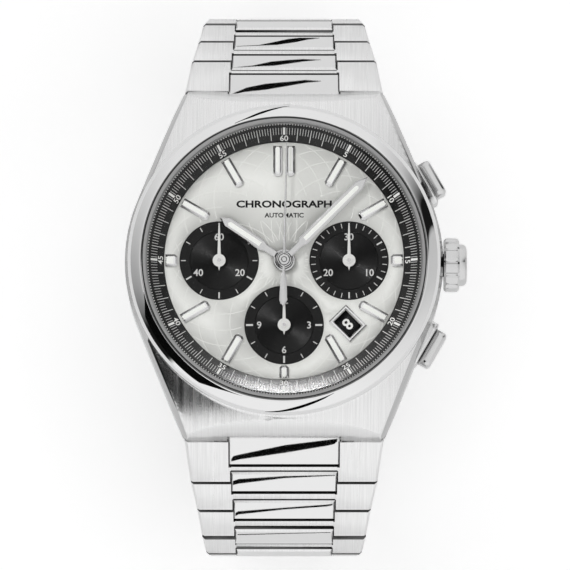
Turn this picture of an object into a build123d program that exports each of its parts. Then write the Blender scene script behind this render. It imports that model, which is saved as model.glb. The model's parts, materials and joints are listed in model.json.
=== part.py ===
from build123d import *
import math
import os

# Chronograph wristwatch on an integrated steel bracelet, closed, standing on its clasp.
# Frame: X to 3 o'clock (crown side), Y to 12 o'clock, Z out through the crystal.
# The head is modelled with Z = 0 on the dial face, then everything is lifted so that the
# flat outer face of the clasp lies on Z = 0.

# ---------------------------------------------------------------- case
CASE_RADIUS = 20.5
LUG_END_Y = 22.8
LUG_TOP_Z = -4.6
FLANK_ANGLE = 22.1
CASE_TOP_Z = 0.2
CASE_BOTTOM_Z = -8.4
DOME_START_R = 17.5
CASE_BEVEL = 0.7
CASE_BORE = 16.2
SEAT_RADIUS = 17.75
SEAT_Z = -0.6
CRESCENT_SLOPE = 64.0
LUG_TIP_STEP = 0.3
LUG_CORNER_R = 26.05

# ---------------------------------------------------------------- bezel, crystal, flange, dial
BEZEL_OUTER = 20.1
BEZEL_INNER = 18.35
BEZEL_TOP_Z = 2.6
BEZEL_SHOULDER_Z = 1.3
CRYSTAL_RADIUS = 17.7
CRYSTAL_TOP_Z = 3.9
CRYSTAL_EDGE_Z = 2.9
CRYSTAL_UNDER_Z = 1.55
CRYSTAL_UNDER_TOP_Z = 2.05
FLANGE_INNER = 15.4
FLANGE_TOP_Z = 1.5
DIAL_RADIUS = 16.0
DIAL_THICKNESS = 0.4
SUBDIAL_RADIUS = 5.12
SUBDIAL_OFFSET = 8.35
SUBDIAL_DEPTH = 0.12
MARKER_HEIGHT = 0.42
MARKER_INNER = 11.2
MARKER_OUTER = 15.1
MARKER_WIDTH = 1.25
DATE_RADIUS = 11.56
DATE_ANGLE = -45.0
DATE_WINDOW = (2.9, 2.15)
DATE_FRAME = (3.8, 3.1)

# ---------------------------------------------------------------- hands (angles clockwise from 12)
HOUR_HAND_ANGLE = 303.75
MINUTE_HAND_ANGLE = 45.0
CHRONO_HAND_ANGLE = 1.3
HAND_THICKNESS = 0.14
HOUR_HAND_Z = 0.46
MINUTE_HAND_Z = 0.78
CHRONO_HAND_Z = 1.08
SUB_HAND_Z = 0.2
HOUR_HAND_LENGTH = 9.94
MINUTE_HAND_LENGTH = 15.2

# ---------------------------------------------------------------- crown and pushers
CROWN_Z = -4.2
CROWN_START_X = 20.6
CROWN_BARREL_END_X = 22.6
CROWN_END_X = 23.6
CROWN_RADIUS = 3.5
CROWN_CAP_RADIUS = 2.7
CROWN_FLUTES = 12
FLUTE_RADIUS = 0.62
FLUTE_CIRCLE = CROWN_RADIUS + 0.3
TUBE_OUTER = 1.5
STEM_RADIUS = 0.6
STEM_START_X = 10.5
STEM_END_X = 22.9
PUSHER_ANGLE = 30.0
PUSHER_Z = -3.8
PUSHER_CAP = (5.0, 3.4)
PUSHER_START_R = 21.0
PUSHER_END_R = 22.9
PUSHER_STEM_RADIUS = 0.7
PUSHER_STEM_START_R = 15.85
GUARD = (6.2, 4.8)
GUARD_END_R = 21.3
GUARD_FLOOR_R = 20.05

# ---------------------------------------------------------------- movement
MOVEMENT_RADIUS = 14.95
PLATE_TOP_Z = -0.95
PLATE_BOTTOM_Z = -2.5
BRIDGE_TOP_Z = -5.5
BRIDGE_BOTTOM_Z = -6.5
DISC_TOP_Z = -0.55
DISC_BOTTOM_Z = -0.8
ROTOR_RADIUS = 14.2
BACK_RADIUS = 18.2
BACK_Z = -10.3
BACK_SCREW_CIRCLE = 17.1
WINDOW_RADIUS = 13.35

# going train: tooth counts, modules and places
CENTRE_TEETH = 60
THIRD_PINION_TEETH = 8
CENTRE_MODULE = 0.15
THIRD_TEETH = 64
FOURTH_PINION_TEETH = 8
THIRD_MODULE = 0.1375
FOURTH_TEETH = 72
ESCAPE_PINION_TEETH = 6
FOURTH_MODULE = 0.1
BARREL_TEETH = 64
CENTRE_PINION_TEETH = 8
BARREL_MODULE = 0.1625
BARREL_DIRECTION = 52.0
ESCAPE_DIRECTION = 110.0
BALANCE_CENTRE = (-5.2, 9.0)
BALANCE_RADIUS = 3.6

# ---------------------------------------------------------------- bracelet
LINK_THICKNESS = 2.9
FIRST_LINK_LENGTH = 6.8
LINK_PITCH = 4.8
FIRST_AXIS_DEPTH = 0.9
LINK_SLOPES = [45, 48, 52, 72, 93, 103, 120, 131, 141, 155]
ROW_WIDTHS = [25.7, 24.2, 22.6, 21.4, 20.5, 19.8, 19.2, 18.7, 18.3, 18.0, 18.0]
CENTRE_WIDTHS = [14.4, 13.75, 13.2, 12.8, 12.5, 12.3, 12.1, 12.0, 11.9, 11.8, 11.8]
CENTRE_HALF = 1.65
FIRST_CENTRE_BACK = 0.8
FIRST_CENTRE_FRONT = 3.95
POCKET_GAP = 0.32
FACE_GAP = 0.06
SIDE_GAP = 0.12
RELIEF_ANGLE = 13.0
FIRST_RELIEF_ANGLE = 12.0
FIRST_EDGE_BEVEL = (0.08, 0.25)
ROW_EDGE_BEVEL = (0.12, 0.3)
KNUCKLE_RADIUS = 0.8
FIRST_KNUCKLE_RADIUS = 0.68
KNUCKLE_CLEARANCE = 0.08
KNUCKLE_WIDTH = 1.6
PIN_RADIUS = 0.42
PIN_CLEARANCE = 0.03
FIX_PIN_RADIUS = 0.25
FIX_PIN_OFFSET = 1.17
LINK_BEVEL = 0.35
CENTRE_BEVEL = 0.25

# ---------------------------------------------------------------- clasp (Z measured from the floor)
CLASP_PIN_Z = 1.7
CLASP_WIDTH = 18.0
CLASP_PLATE = 0.9
CLASP_WALL = 0.7
CLASP_WALL_TOP = 3.0
LEAF_HALF_WIDTH = 7.3
TONGUE_RADIUS = 1.0
LEAF_PIN_RADIUS = 0.3
COVER_HINGE = (-15.5, 1.75)
LEAF_HINGE = (15.0, 2.25)
BUTTON_LENGTH = 4.0
BUTTON_HEIGHT = 1.4
BUTTON_Y = -3.0


def turned(angle):
    """Rotation about Z, anticlockwise in degrees."""
    return Rot(0, 0, angle)


def disc(radius, low, high, x=0.0, y=0.0):
    return Pos(x, y, (low + high) / 2) * Cylinder(radius, high - low)


def ring(outer, inner, low, high, x=0.0, y=0.0):
    return disc(outer, low, high, x, y) - disc(inner, low - 1, high + 1, x, y)


def block(x_range, y_range, z_range):
    size = [x_range[1] - x_range[0], y_range[1] - y_range[0], z_range[1] - z_range[0]]
    middle = [sum(x_range) / 2, sum(y_range) / 2, sum(z_range) / 2]
    return Pos(*middle) * Box(*size)


def spun(outline):
    """Solid of revolution about Z from a closed outline of (radius, z) points."""
    points = [(radius, 0, z) for radius, z in outline]
    return revolve(make_face(Polyline(*points, close=True)), Axis.Z, 360)


def plate(points, low, high):
    """Prism over a closed outline of (x, y) points."""
    face = make_face(Polyline(*[(x, y, low) for x, y in points], close=True))
    return extrude(face, amount=high - low, dir=(0, 0, 1))


def along_x(shape):
    """Turn a shape made about Z so that its axis lies along X."""
    return Rot(0, 90, 0) * shape


def solids_of(shape):
    return list(shape.solids())


def polar(radius, angle):
    return (radius * math.cos(math.radians(angle)), radius * math.sin(math.radians(angle)))


def clockwise(angle):
    """Angle from the X axis for a dial angle counted clockwise from 12."""
    return 90.0 - angle


# ================================================================ bracelet path
def pin_path():
    """Pin places (y, z) of the 12 o'clock side in head coordinates, from the case to the clasp."""
    slope = math.radians(LINK_SLOPES[0])
    y = LUG_END_Y + 0.1 - FIRST_AXIS_DEPTH * math.sin(slope)
    z = LUG_TOP_Z - FIRST_AXIS_DEPTH * math.cos(slope)
    places = [(y, z)]
    for row, angle in enumerate(LINK_SLOPES):
        slope = math.radians(angle)
        length = FIRST_LINK_LENGTH if row == 0 else LINK_PITCH
        drop = LINK_THICKNESS / 2 - FIRST_AXIS_DEPTH if row == 0 else 0.0
        y += length * math.cos(slope) - drop * math.sin(slope)
        z += -length * math.sin(slope) - drop * math.cos(slope)
        places.append((y, z))
    return places


PINS = pin_path()
DIAL_Z = CLASP_PIN_Z - PINS[-1][1]
CLASP_END_Y = PINS[-1][0]


def save(name, shapes, lift=DIAL_Z):
    """Write one node: all solids of the given shapes, lifted onto the clasp."""
    parts = []
    for shape in shapes:
        parts.extend(Pos(0, 0, lift) * solid for solid in solids_of(shape))
    export_step(Compound(parts) if len(parts) > 1 else parts[0], "parts/" + name + ".step")


def link_place(row):
    """Location that maps a link's own frame (Y along the link, Z outward) onto its place."""
    y, z = PINS[row]
    return Pos(0, y, z) * Rot(-LINK_SLOPES[row], 0, 0)


def row_turn(row):
    """Angle between this link and the one before it at rest."""
    return 0.0 if row == 0 else LINK_SLOPES[row] - LINK_SLOPES[row - 1]


def cross_rod(radius, half_length, y=0.0, z=0.0):
    return Pos(0, y, z) * along_x(Cylinder(radius, 2 * half_length))


def knuckle_pair(radius, inner, width, y=0.0, z=0.0):
    """Two short cylinders along X, one on each side of the middle."""
    rods = []
    for side in (-1, 1):
        rods.append(Pos(side * (inner + width / 2), y, z) * along_x(Cylinder(radius, width)))
    return rods


def h_link(row):
    """Brushed H-shaped link: two side pads and their cross bar, with hinge knuckles."""
    first = row == 0
    length = FIRST_LINK_LENGTH if first else LINK_PITCH
    top = FIRST_AXIS_DEPTH if first else LINK_THICKNESS / 2
    bottom = top - LINK_THICKNESS
    end_axis_z = top - LINK_THICKNESS / 2
    relief = LINK_THICKNESS / 2 * math.tan(math.radians(RELIEF_ANGLE))
    start_relief = -bottom * math.tan(math.radians(FIRST_RELIEF_ANGLE)) if first else relief
    start_bevel = FIRST_EDGE_BEVEL if first else ROW_EDGE_BEVEL
    outline = [
        (FACE_GAP, top - start_bevel[1]),
        (FACE_GAP + start_bevel[0], top),
        (length - FACE_GAP - ROW_EDGE_BEVEL[0], top),
        (length - FACE_GAP, top - ROW_EDGE_BEVEL[1]),
        (length - FACE_GAP, end_axis_z),
        (length - FACE_GAP - relief, bottom),
        (FACE_GAP + start_relief, bottom),
        (FACE_GAP, 0.0 if first else end_axis_z),
    ]
    side_face = make_face(Polyline(*[(-14, y, z) for y, z in outline], close=True))
    body = extrude(side_face, amount=28, dir=(1, 0, 0))
    half_start = ROW_WIDTHS[row] / 2
    half_end = ROW_WIDTHS[row + 1] / 2
    plan = [(-half_start, 0), (half_start, 0), (half_end, length), (-half_end, length)]
    body = body & plate(plan, bottom - 1, top + 1)
    outer_edges = [
        edge for edge in body.edges()
        if abs(edge.center().Z - top) < 0.01 and abs(edge.center().X) > 5
    ]
    body = chamfer(outer_edges, LINK_BEVEL)
    start_pocket = FIRST_CENTRE_FRONT + POCKET_GAP if first else CENTRE_HALF + POCKET_GAP
    end_pocket = CENTRE_HALF + POCKET_GAP
    centre_half = CENTRE_WIDTHS[row] / 2
    next_half = CENTRE_WIDTHS[row + 1] / 2
    body -= block((-centre_half, centre_half), (-1, start_pocket), (-5, 5))
    body -= block((-next_half - SIDE_GAP, next_half + SIDE_GAP), (length - end_pocket, length + 1), (-5, 5))
    body -= block((-next_half, next_half), (0, length), (top - 0.12, top + 1))
    groove_radius = (FIRST_KNUCKLE_RADIUS if first else KNUCKLE_RADIUS) + KNUCKLE_CLEARANCE
    for groove in knuckle_pair(groove_radius, centre_half, KNUCKLE_WIDTH + 2 * SIDE_GAP):
        body -= groove
    for knuckle in knuckle_pair(KNUCKLE_RADIUS, next_half + SIDE_GAP, KNUCKLE_WIDTH, length, end_axis_z):
        body += knuckle
    body -= cross_rod(PIN_RADIUS + PIN_CLEARANCE, next_half + SIDE_GAP + 1.3, length, end_axis_z)
    return body


def fix_pin_place(row):
    """Centre of the second pin in the link's own frame."""
    if row == 0:
        return (FIRST_CENTRE_FRONT - 1.0, FIRST_AXIS_DEPTH - LINK_THICKNESS / 2)
    tilt = math.radians(row_turn(row) / 2)
    return (FIX_PIN_OFFSET * math.cos(tilt), FIX_PIN_OFFSET * math.sin(tilt))


def centre_piece(row):
    """Polished centre piece that bridges a link and the one before it."""
    half = CENTRE_WIDTHS[row] / 2
    if row == 0:
        top = FIRST_AXIS_DEPTH
        low = top - LINK_THICKNESS + 0.05
        piece = block((-half, half), (-FIRST_CENTRE_BACK, FIRST_CENTRE_FRONT), (low, top))
        relief = [(-2, -0.3), (-FIRST_CENTRE_BACK, -0.3), (-0.28, -2.1), (-2, -2.1)]
        relief_face = make_face(Polyline(*[(-14, y, z) for y, z in relief], close=True))
        piece -= extrude(relief_face, amount=28, dir=(1, 0, 0))
    else:
        top = LINK_THICKNESS / 2 - 0.05
        piece = block((-half, half), (-CENTRE_HALF, CENTRE_HALF), (-top, top))
    piece = chamfer(piece.edges().group_by(Axis.Z)[-1] + piece.edges().group_by(Axis.Z)[0], CENTRE_BEVEL)
    if row > 0:
        piece = Rot(row_turn(row) / 2, 0, 0) * piece
    return piece


def row_shapes(row):
    """All solids of one bracelet row in the link's own frame."""
    link = h_link(row)
    centre = centre_piece(row)
    half = CENTRE_WIDTHS[row] / 2
    hinge_pin = cross_rod(PIN_RADIUS, half + SIDE_GAP + 1.2)
    fix_y, fix_z = fix_pin_place(row)
    fix_half = min(ROW_WIDTHS[row], ROW_WIDTHS[row + 1]) / 2 - 0.6
    fix_pin = cross_rod(FIX_PIN_RADIUS, fix_half, fix_y, fix_z)
    fix_hole = cross_rod(FIX_PIN_RADIUS, 15, fix_y, fix_z)
    centre = centre - hinge_pin - fix_pin
    link = link - fix_hole
    return [link, centre, hinge_pin, fix_pin]


# ================================================================ case and glass
def case_outline():
    """Plan of the case: an arc at 3 and 9 o'clock with tangent flanks to the lug ends."""
    flank = math.radians(FLANK_ANGLE)
    touch = (CASE_RADIUS * math.cos(flank), CASE_RADIUS * math.sin(flank))
    half_end = (CASE_RADIUS - LUG_END_Y * math.sin(flank)) / math.cos(flank)
    edges = []
    for side in (1, -1):
        start = (side * half_end, side * LUG_END_Y)
        first_touch = (side * touch[0], side * touch[1])
        last_touch = (side * touch[0], -side * touch[1])
        finish = (side * half_end, -side * LUG_END_Y)
        edges.append(Line(start, first_touch))
        edges.append(ThreePointArc(first_touch, (side * CASE_RADIUS, 0), last_touch))
        edges.append(Line(last_touch, finish))
        edges.append(Line(finish, (-finish[0], finish[1])))
    return make_face(edges)


def dome_profile():
    """Turned profile of the case: a flat middle and a rounded shoulder that falls past the lug corners."""
    run = LUG_CORNER_R - DOME_START_R
    fall = CASE_TOP_Z - LUG_TOP_Z - LUG_TIP_STEP
    radius = (run ** 2 + fall ** 2) / (2 * fall)
    end_r = LUG_CORNER_R + 1.5
    arc = []
    for reach in (0.5 * (end_r - DOME_START_R), end_r - DOME_START_R):
        arc.append((DOME_START_R + reach, 0, CASE_TOP_Z - radius + math.sqrt(radius ** 2 - reach ** 2)))
    edges = [
        Line((0, 0, CASE_TOP_Z), (DOME_START_R, 0, CASE_TOP_Z)),
        ThreePointArc((DOME_START_R, 0, CASE_TOP_Z), arc[0], arc[1]),
        Line(arc[1], (end_r, 0, CASE_BOTTOM_Z)),
        Line((end_r, 0, CASE_BOTTOM_Z), (0, 0, CASE_BOTTOM_Z)),
        Line((0, 0, CASE_BOTTOM_Z), (0, 0, CASE_TOP_Z)),
    ]
    return revolve(make_face(edges), Axis.Z, 360)


def case_side_profile():
    """Side view limits of the case: steep crescent facets above the lug ends, undercuts below them."""
    facet_back = (CASE_TOP_Z + 1.0 - LUG_TOP_Z) / math.tan(math.radians(CRESCENT_SLOPE))
    bottom_y = LUG_END_Y - (LUG_TOP_Z - CASE_BOTTOM_Z)
    upper = [(LUG_END_Y, LUG_TOP_Z), (LUG_END_Y - facet_back, CASE_TOP_Z + 1.0)]
    lower = [(-bottom_y, CASE_BOTTOM_Z), (bottom_y, CASE_BOTTOM_Z)]
    outline = lower + upper + [(-y, z) for y, z in reversed(upper)]
    return make_face(Polyline(*[(-24, y, z) for y, z in outline], close=True))


def pusher_frame(side):
    """Location of a pusher: X radially outward, Z up."""
    return turned(side * PUSHER_ANGLE) * Pos(0, 0, PUSHER_Z)


def case_middle():
    body = extrude(Pos(0, 0, -12) * case_outline(), amount=14)
    body = body & dome_profile()
    rim = [
        edge for edge in body.edges()
        if abs(edge.center().X) > 12 and edge.length > 3 and edge.bounding_box().min.Z > CASE_BOTTOM_Z + 1
    ]
    body = chamfer(rim, CASE_BEVEL)
    body = body & extrude(case_side_profile(), amount=48, dir=(1, 0, 0))
    body += disc(BEZEL_OUTER - 0.15, -3.0, CASE_TOP_Z)
    body -= disc(CASE_BORE, -20, 5)
    body -= disc(SEAT_RADIUS, SEAT_Z, 5)
    for side in (1, -1):
        guard = block((17.5, GUARD_END_R), (-GUARD[0] / 2, GUARD[0] / 2), (-GUARD[1] / 2, GUARD[1] / 2))
        guard = fillet(guard.edges().filter_by(Axis.X), 1.0)
        guard = fillet(guard.faces().sort_by(Axis.X)[-1].edges(), 0.25)
        body += pusher_frame(side) * guard
    for side in (1, -1):
        pocket = block(
            (GUARD_FLOOR_R, 25),
            (-PUSHER_CAP[0] / 2 - 0.08, PUSHER_CAP[0] / 2 + 0.08),
            (-PUSHER_CAP[1] / 2 - 0.08, PUSHER_CAP[1] / 2 + 0.08),
        )
        body -= pusher_frame(side) * fillet(pocket.edges().filter_by(Axis.X), 0.8)
        body -= pusher_frame(side) * Pos(18, 0, 0) * along_x(Cylinder(1.2, 6))
    body -= Pos(18.5, 0, CROWN_Z) * along_x(Cylinder(TUBE_OUTER, 8))
    for angle in (0, 180):
        end = turned(angle) * link_place(0)
        half = CENTRE_WIDTHS[0] / 2 + SIDE_GAP
        for knuckle in knuckle_pair(FIRST_KNUCKLE_RADIUS, half, KNUCKLE_WIDTH):
            body += end * knuckle
        body -= end * block((-half, half), (-FIRST_CENTRE_BACK - 0.2, 6), (-2.5, 3))
        body -= end * cross_rod(PIN_RADIUS + PIN_CLEARANCE, half + 1.3)
    for screw in range(6):
        x, y = polar(BACK_SCREW_CIRCLE, 60 * screw)
        body -= disc(0.5, CASE_BOTTOM_Z - 1, CASE_BOTTOM_Z + 2.2, x, y)
    return body


def bezel():
    edges = [
        Line((BEZEL_OUTER, 0, CASE_TOP_Z), (BEZEL_OUTER, 0, BEZEL_SHOULDER_Z)),
        ThreePointArc((BEZEL_OUTER, 0, BEZEL_SHOULDER_Z), (19.44, 0, 2.12), (18.6, 0, BEZEL_TOP_Z - 0.03)),
        Line((18.6, 0, BEZEL_TOP_Z - 0.03), (BEZEL_INNER + 0.08, 0, BEZEL_TOP_Z)),
        Line((BEZEL_INNER + 0.08, 0, BEZEL_TOP_Z), (BEZEL_INNER, 0, BEZEL_TOP_Z - 0.08)),
        Line((BEZEL_INNER, 0, BEZEL_TOP_Z - 0.08), (BEZEL_INNER, 0, 1.15)),
        Line((BEZEL_INNER, 0, 1.15), (SEAT_RADIUS + 0.05, 0, 1.15)),
        Line((SEAT_RADIUS + 0.05, 0, 1.15), (SEAT_RADIUS + 0.05, 0, CASE_TOP_Z)),
        Line((SEAT_RADIUS + 0.05, 0, CASE_TOP_Z), (BEZEL_OUTER, 0, CASE_TOP_Z)),
    ]
    return revolve(make_face(edges), Axis.Z, 360)


def dome_point(x, apex_z, rim_x, rim_z):
    """Point at x on the circle through the apex and the rim, with its centre on the Z axis."""
    fall = apex_z - rim_z
    radius = (rim_x ** 2 + fall ** 2) / (2 * fall)
    return (x, 0, apex_z - radius + math.sqrt(radius ** 2 - x ** 2))


def crystal():
    rim = CRYSTAL_RADIUS
    top_middle = dome_point(9, CRYSTAL_TOP_Z, rim - 0.3, CRYSTAL_EDGE_Z)
    under_middle = dome_point(9, CRYSTAL_UNDER_TOP_Z, rim - 0.9, CRYSTAL_UNDER_Z)
    edges = [
        ThreePointArc((0, 0, CRYSTAL_TOP_Z), top_middle, (rim - 0.3, 0, CRYSTAL_EDGE_Z)),
        Line((rim - 0.3, 0, CRYSTAL_EDGE_Z), (rim, 0, CRYSTAL_EDGE_Z - 0.3)),
        Line((rim, 0, CRYSTAL_EDGE_Z - 0.3), (rim, 0, CRYSTAL_UNDER_Z)),
        Line((rim, 0, CRYSTAL_UNDER_Z), (rim - 0.9, 0, CRYSTAL_UNDER_Z)),
        ThreePointArc((rim - 0.9, 0, CRYSTAL_UNDER_Z), under_middle, (0, 0, CRYSTAL_UNDER_TOP_Z)),
        Line((0, 0, CRYSTAL_UNDER_TOP_Z), (0, 0, CRYSTAL_TOP_Z)),
    ]
    return revolve(make_face(edges), Axis.Z, 360)


def flange_ring():
    return spun([
        (FLANGE_INNER, 0.02),
        (FLANGE_INNER + 0.06, 0.1),
        (CRYSTAL_RADIUS - 0.35, FLANGE_TOP_Z),
        (CRYSTAL_RADIUS, FLANGE_TOP_Z),
        (CRYSTAL_RADIUS, SEAT_Z + 0.02),
        (CASE_BORE + 0.05, SEAT_Z + 0.02),
        (CASE_BORE + 0.05, 0.02),
    ])


def subdial_centres():
    return [(-SUBDIAL_OFFSET, 0), (SUBDIAL_OFFSET, 0), (0, -SUBDIAL_OFFSET)]


def date_block(size, low, high):
    """Rectangular prism at the date window, long side radial."""
    shape = block((-size[0] / 2, size[0] / 2), (-size[1] / 2, size[1] / 2), (low, high))
    return turned(DATE_ANGLE) * Pos(DATE_RADIUS, 0, 0) * shape


def dial():
    body = disc(DIAL_RADIUS, -DIAL_THICKNESS, 0)
    body -= disc(0.93, -1, 1)
    for x, y in subdial_centres():
        body -= disc(SUBDIAL_RADIUS, -SUBDIAL_DEPTH, 1, x, y)
        body -= disc(0.34, -1, 1, x, y)
    body -= date_block(DATE_WINDOW, -1, 1)
    return body


def marker(angle, inner, outer, width, shift=0.0):
    """Applied bar with bevelled edges; shift moves it sideways."""
    bar = block((inner, outer), (-width / 2, width / 2), (0, MARKER_HEIGHT))
    bar = chamfer(bar.edges().group_by(Axis.Z)[-1], 0.26)
    return turned(clockwise(angle)) * Pos(0, shift, 0) * bar


def dial_appliques():
    """Hour markers and the date frame."""
    pieces = []
    for hour in (1, 2, 4, 5, 7, 8, 10, 11):
        pieces.append(marker(30 * hour, MARKER_INNER, MARKER_OUTER, MARKER_WIDTH))
    for shift in (-0.83, 0.83):
        pieces.append(marker(0, 11.0, 14.9, 1.15, shift))
    pieces.append(marker(90, 13.7, 15.25, 1.58))
    pieces.append(marker(270, 13.7, 15.25, 1.58))
    pieces.append(marker(180, 13.6, 15.2, 1.2))
    frame = date_block(DATE_FRAME, 0, 0.3)
    frame = chamfer(frame.edges().group_by(Axis.Z)[-1], 0.15)
    pieces.append(frame - date_block(DATE_WINDOW, -1, 1))
    return pieces


# ================================================================ hands
def bar_hand(length, hub, neck, body, body_start, tip, low, tail=0.0):
    """Hand pointing along X: hub, narrow neck, parallel body and pointed tip."""
    outline = [
        (-tail, -neck / 2),
        (body_start - 0.5, -neck / 2),
        (body_start, -body / 2),
        (length - tip, -body / 2),
        (length, 0),
        (length - tip, body / 2),
        (body_start, body / 2),
        (body_start - 0.5, neck / 2),
        (-tail, neck / 2),
    ]
    return plate(outline, low, low + HAND_THICKNESS) + disc(hub, low, low + HAND_THICKNESS)


def hour_hand_shapes():
    hand = bar_hand(HOUR_HAND_LENGTH, 1.4, 0.9, 1.4, 3.4, 1.0, HOUR_HAND_Z) - disc(0.85, 0, 2)
    tube = ring(0.85, 0.59, -0.9, HOUR_HAND_Z + HAND_THICKNESS)
    tube += ring(3.0, 0.59, -0.9, -0.65)
    turn = turned(clockwise(HOUR_HAND_ANGLE))
    return [turn * hand, turn * tube]


def minute_hand_shapes():
    hand = bar_hand(MINUTE_HAND_LENGTH, 1.1, 0.8, 1.3, 3.4, 1.3, MINUTE_HAND_Z) - disc(0.55, 0, 2)
    return [turned(clockwise(MINUTE_HAND_ANGLE)) * hand]


def chrono_hand_shapes():
    top = CHRONO_HAND_Z + HAND_THICKNESS
    outline = [
        (-6.1, 0), (-5.3, -0.5), (-2.6, -0.42), (-1.5, -0.2), (15.3, -0.07),
        (15.3, 0.07), (-1.5, 0.2), (-2.6, 0.42), (-5.3, 0.5),
    ]
    hand = plate(outline, CHRONO_HAND_Z, top) + disc(0.9, CHRONO_HAND_Z, top)
    hand += disc(0.67, top, top + 0.12)
    hand -= disc(0.3, CHRONO_HAND_Z - 1, CHRONO_HAND_Z + 0.1)
    arbor = disc(0.3, -5.4, CHRONO_HAND_Z + 0.1) + disc(2.2, -5.3, -5.1)
    turn = turned(clockwise(CHRONO_HAND_ANGLE))
    return [turn * hand, turn * arbor]


def sub_hand():
    """Small hand pointing to 12, with a short pointed tail."""
    top = SUB_HAND_Z + 0.1
    right_side = [(0, 4.6), (0.1, 4.55), (0.24, 0.6), (0.12, -1.3)]
    left_side = [(0, -1.36), (-0.12, -1.3), (-0.24, 0.6), (-0.1, 4.55)]
    outline = right_side + left_side
    hand = plate(outline, SUB_HAND_Z, top) + disc(0.83, SUB_HAND_Z, top)
    return hand + disc(0.4, top, top + 0.08)


def counter_shapes(x, y):
    """Sub-dial hand with its arbor and wheel below the dial."""
    hand = sub_hand() - disc(0.28, SUB_HAND_Z - 1, SUB_HAND_Z + 0.06)
    arbor = disc(0.28, -3.2, SUB_HAND_Z + 0.06) + disc(2.4, -2.95, -2.75)
    return [Pos(x, y, 0) * hand, Pos(x, y, 0) * arbor]


# ================================================================ crown and pushers
def crown():
    barrel = Pos((CROWN_START_X + CROWN_BARREL_END_X) / 2, 0, 0)
    barrel = barrel * along_x(Cylinder(CROWN_RADIUS, CROWN_BARREL_END_X - CROWN_START_X))
    barrel = chamfer(barrel.edges(), 0.3)
    for flute in range(CROWN_FLUTES):
        angle = math.radians(360 / CROWN_FLUTES * (flute + 0.5))
        place = Pos(CROWN_START_X + 1.0, FLUTE_CIRCLE * math.cos(angle), FLUTE_CIRCLE * math.sin(angle))
        barrel -= place * along_x(Cylinder(FLUTE_RADIUS, 3))
    cap = Pos((CROWN_BARREL_END_X + CROWN_END_X) / 2, 0, 0)
    cap = cap * along_x(Cylinder(CROWN_CAP_RADIUS, CROWN_END_X - CROWN_BARREL_END_X))
    cap = fillet(cap.edges().sort_by(Axis.X)[-1], 0.55)
    body = barrel + cap
    body -= Pos(CROWN_START_X + 0.5, 0, 0) * along_x(Cylinder(TUBE_OUTER + 0.05, 1.6))
    body -= Pos(CROWN_START_X + 0.5, 0, 0) * along_x(Cylinder(STEM_RADIUS, 3.6))
    return Pos(0, 0, CROWN_Z) * body


def winding_stem():
    stem = Pos((STEM_START_X + STEM_END_X) / 2, 0, 0)
    stem = stem * along_x(Cylinder(STEM_RADIUS, STEM_END_X - STEM_START_X))
    pinion = Pos(12.3, 0, 0) * along_x(Cylinder(1.0, 1.2))
    return Pos(0, 0, CROWN_Z) * (stem + pinion)


def crown_gasket():
    """Sealing ring that travels on the tube inside the crown."""
    seal = along_x(Cylinder(TUBE_OUTER - 0.55, 0.5) - Cylinder(STEM_RADIUS + 0.04, 1))
    return Pos(19.6, 0, CROWN_Z) * seal


def case_tubes():
    """Crown tube and the two pusher tubes."""
    crown_tube = along_x(Cylinder(TUBE_OUTER, 4.8) - Cylinder(TUBE_OUTER - 0.45, 6))
    tubes = [Pos(18.9, 0, CROWN_Z) * crown_tube]
    for side in (1, -1):
        tube = along_x(Cylinder(1.2, 3.7) - Cylinder(PUSHER_STEM_RADIUS + 0.05, 6))
        tubes.append(pusher_frame(side) * Pos(18.15, 0, 0) * tube)
    return tubes


def pusher(side):
    cap = block(
        (PUSHER_START_R, PUSHER_END_R),
        (-PUSHER_CAP[0] / 2, PUSHER_CAP[0] / 2),
        (-PUSHER_CAP[1] / 2, PUSHER_CAP[1] / 2),
    )
    cap = fillet(cap.edges().filter_by(Axis.X), 0.75)
    cap = fillet(cap.faces().sort_by(Axis.X)[-1].edges(), 0.45)
    stem_end = PUSHER_START_R + 0.5
    stem = Pos((PUSHER_STEM_START_R + stem_end) / 2, 0, 0)
    stem = stem * along_x(Cylinder(PUSHER_STEM_RADIUS, stem_end - PUSHER_STEM_START_R))
    return pusher_frame(side) * (cap + stem)


# ================================================================ movement
def gear(teeth, module, low, high, phase=0.0):
    """Spur gear about Z with plain tapered teeth; one tooth points along the phase angle."""
    pitch_radius = teeth * module / 2
    tip = pitch_radius + 0.9 * module
    root = pitch_radius - 1.2 * module
    step = 360 / teeth
    points = []
    for tooth in range(teeth):
        middle = phase + tooth * step
        points.append(polar(root, middle - 0.32 * step))
        points.append(polar(tip, middle - 0.12 * step))
        points.append(polar(tip, middle + 0.12 * step))
        points.append(polar(root, middle + 0.32 * step))
    return plate(points, low, high)


def spoked(wheel, root, hub, low, high, spokes=4):
    """Cut windows in a wheel so that its rim is carried by spokes."""
    windows = ring(root - 0.7, hub, low - 0.1, high + 0.1)
    for spoke in range(spokes):
        bar = block((0, root), (-0.28, 0.28), (low - 0.2, high + 0.2))
        windows -= turned(360 / spokes * spoke) * bar
    return wheel - windows


def direction(start, end):
    return math.degrees(math.atan2(end[1] - start[1], end[0] - start[0]))


FOURTH_PLACE = (-SUBDIAL_OFFSET, 0.0)
CENTRE_TO_THIRD = (CENTRE_TEETH + THIRD_PINION_TEETH) * CENTRE_MODULE / 2
THIRD_TO_FOURTH = (THIRD_TEETH + FOURTH_PINION_TEETH) * THIRD_MODULE / 2
FOURTH_TO_ESCAPE = (FOURTH_TEETH + ESCAPE_PINION_TEETH) * FOURTH_MODULE / 2
BARREL_TO_CENTRE = (BARREL_TEETH + CENTRE_PINION_TEETH) * BARREL_MODULE / 2


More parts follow.
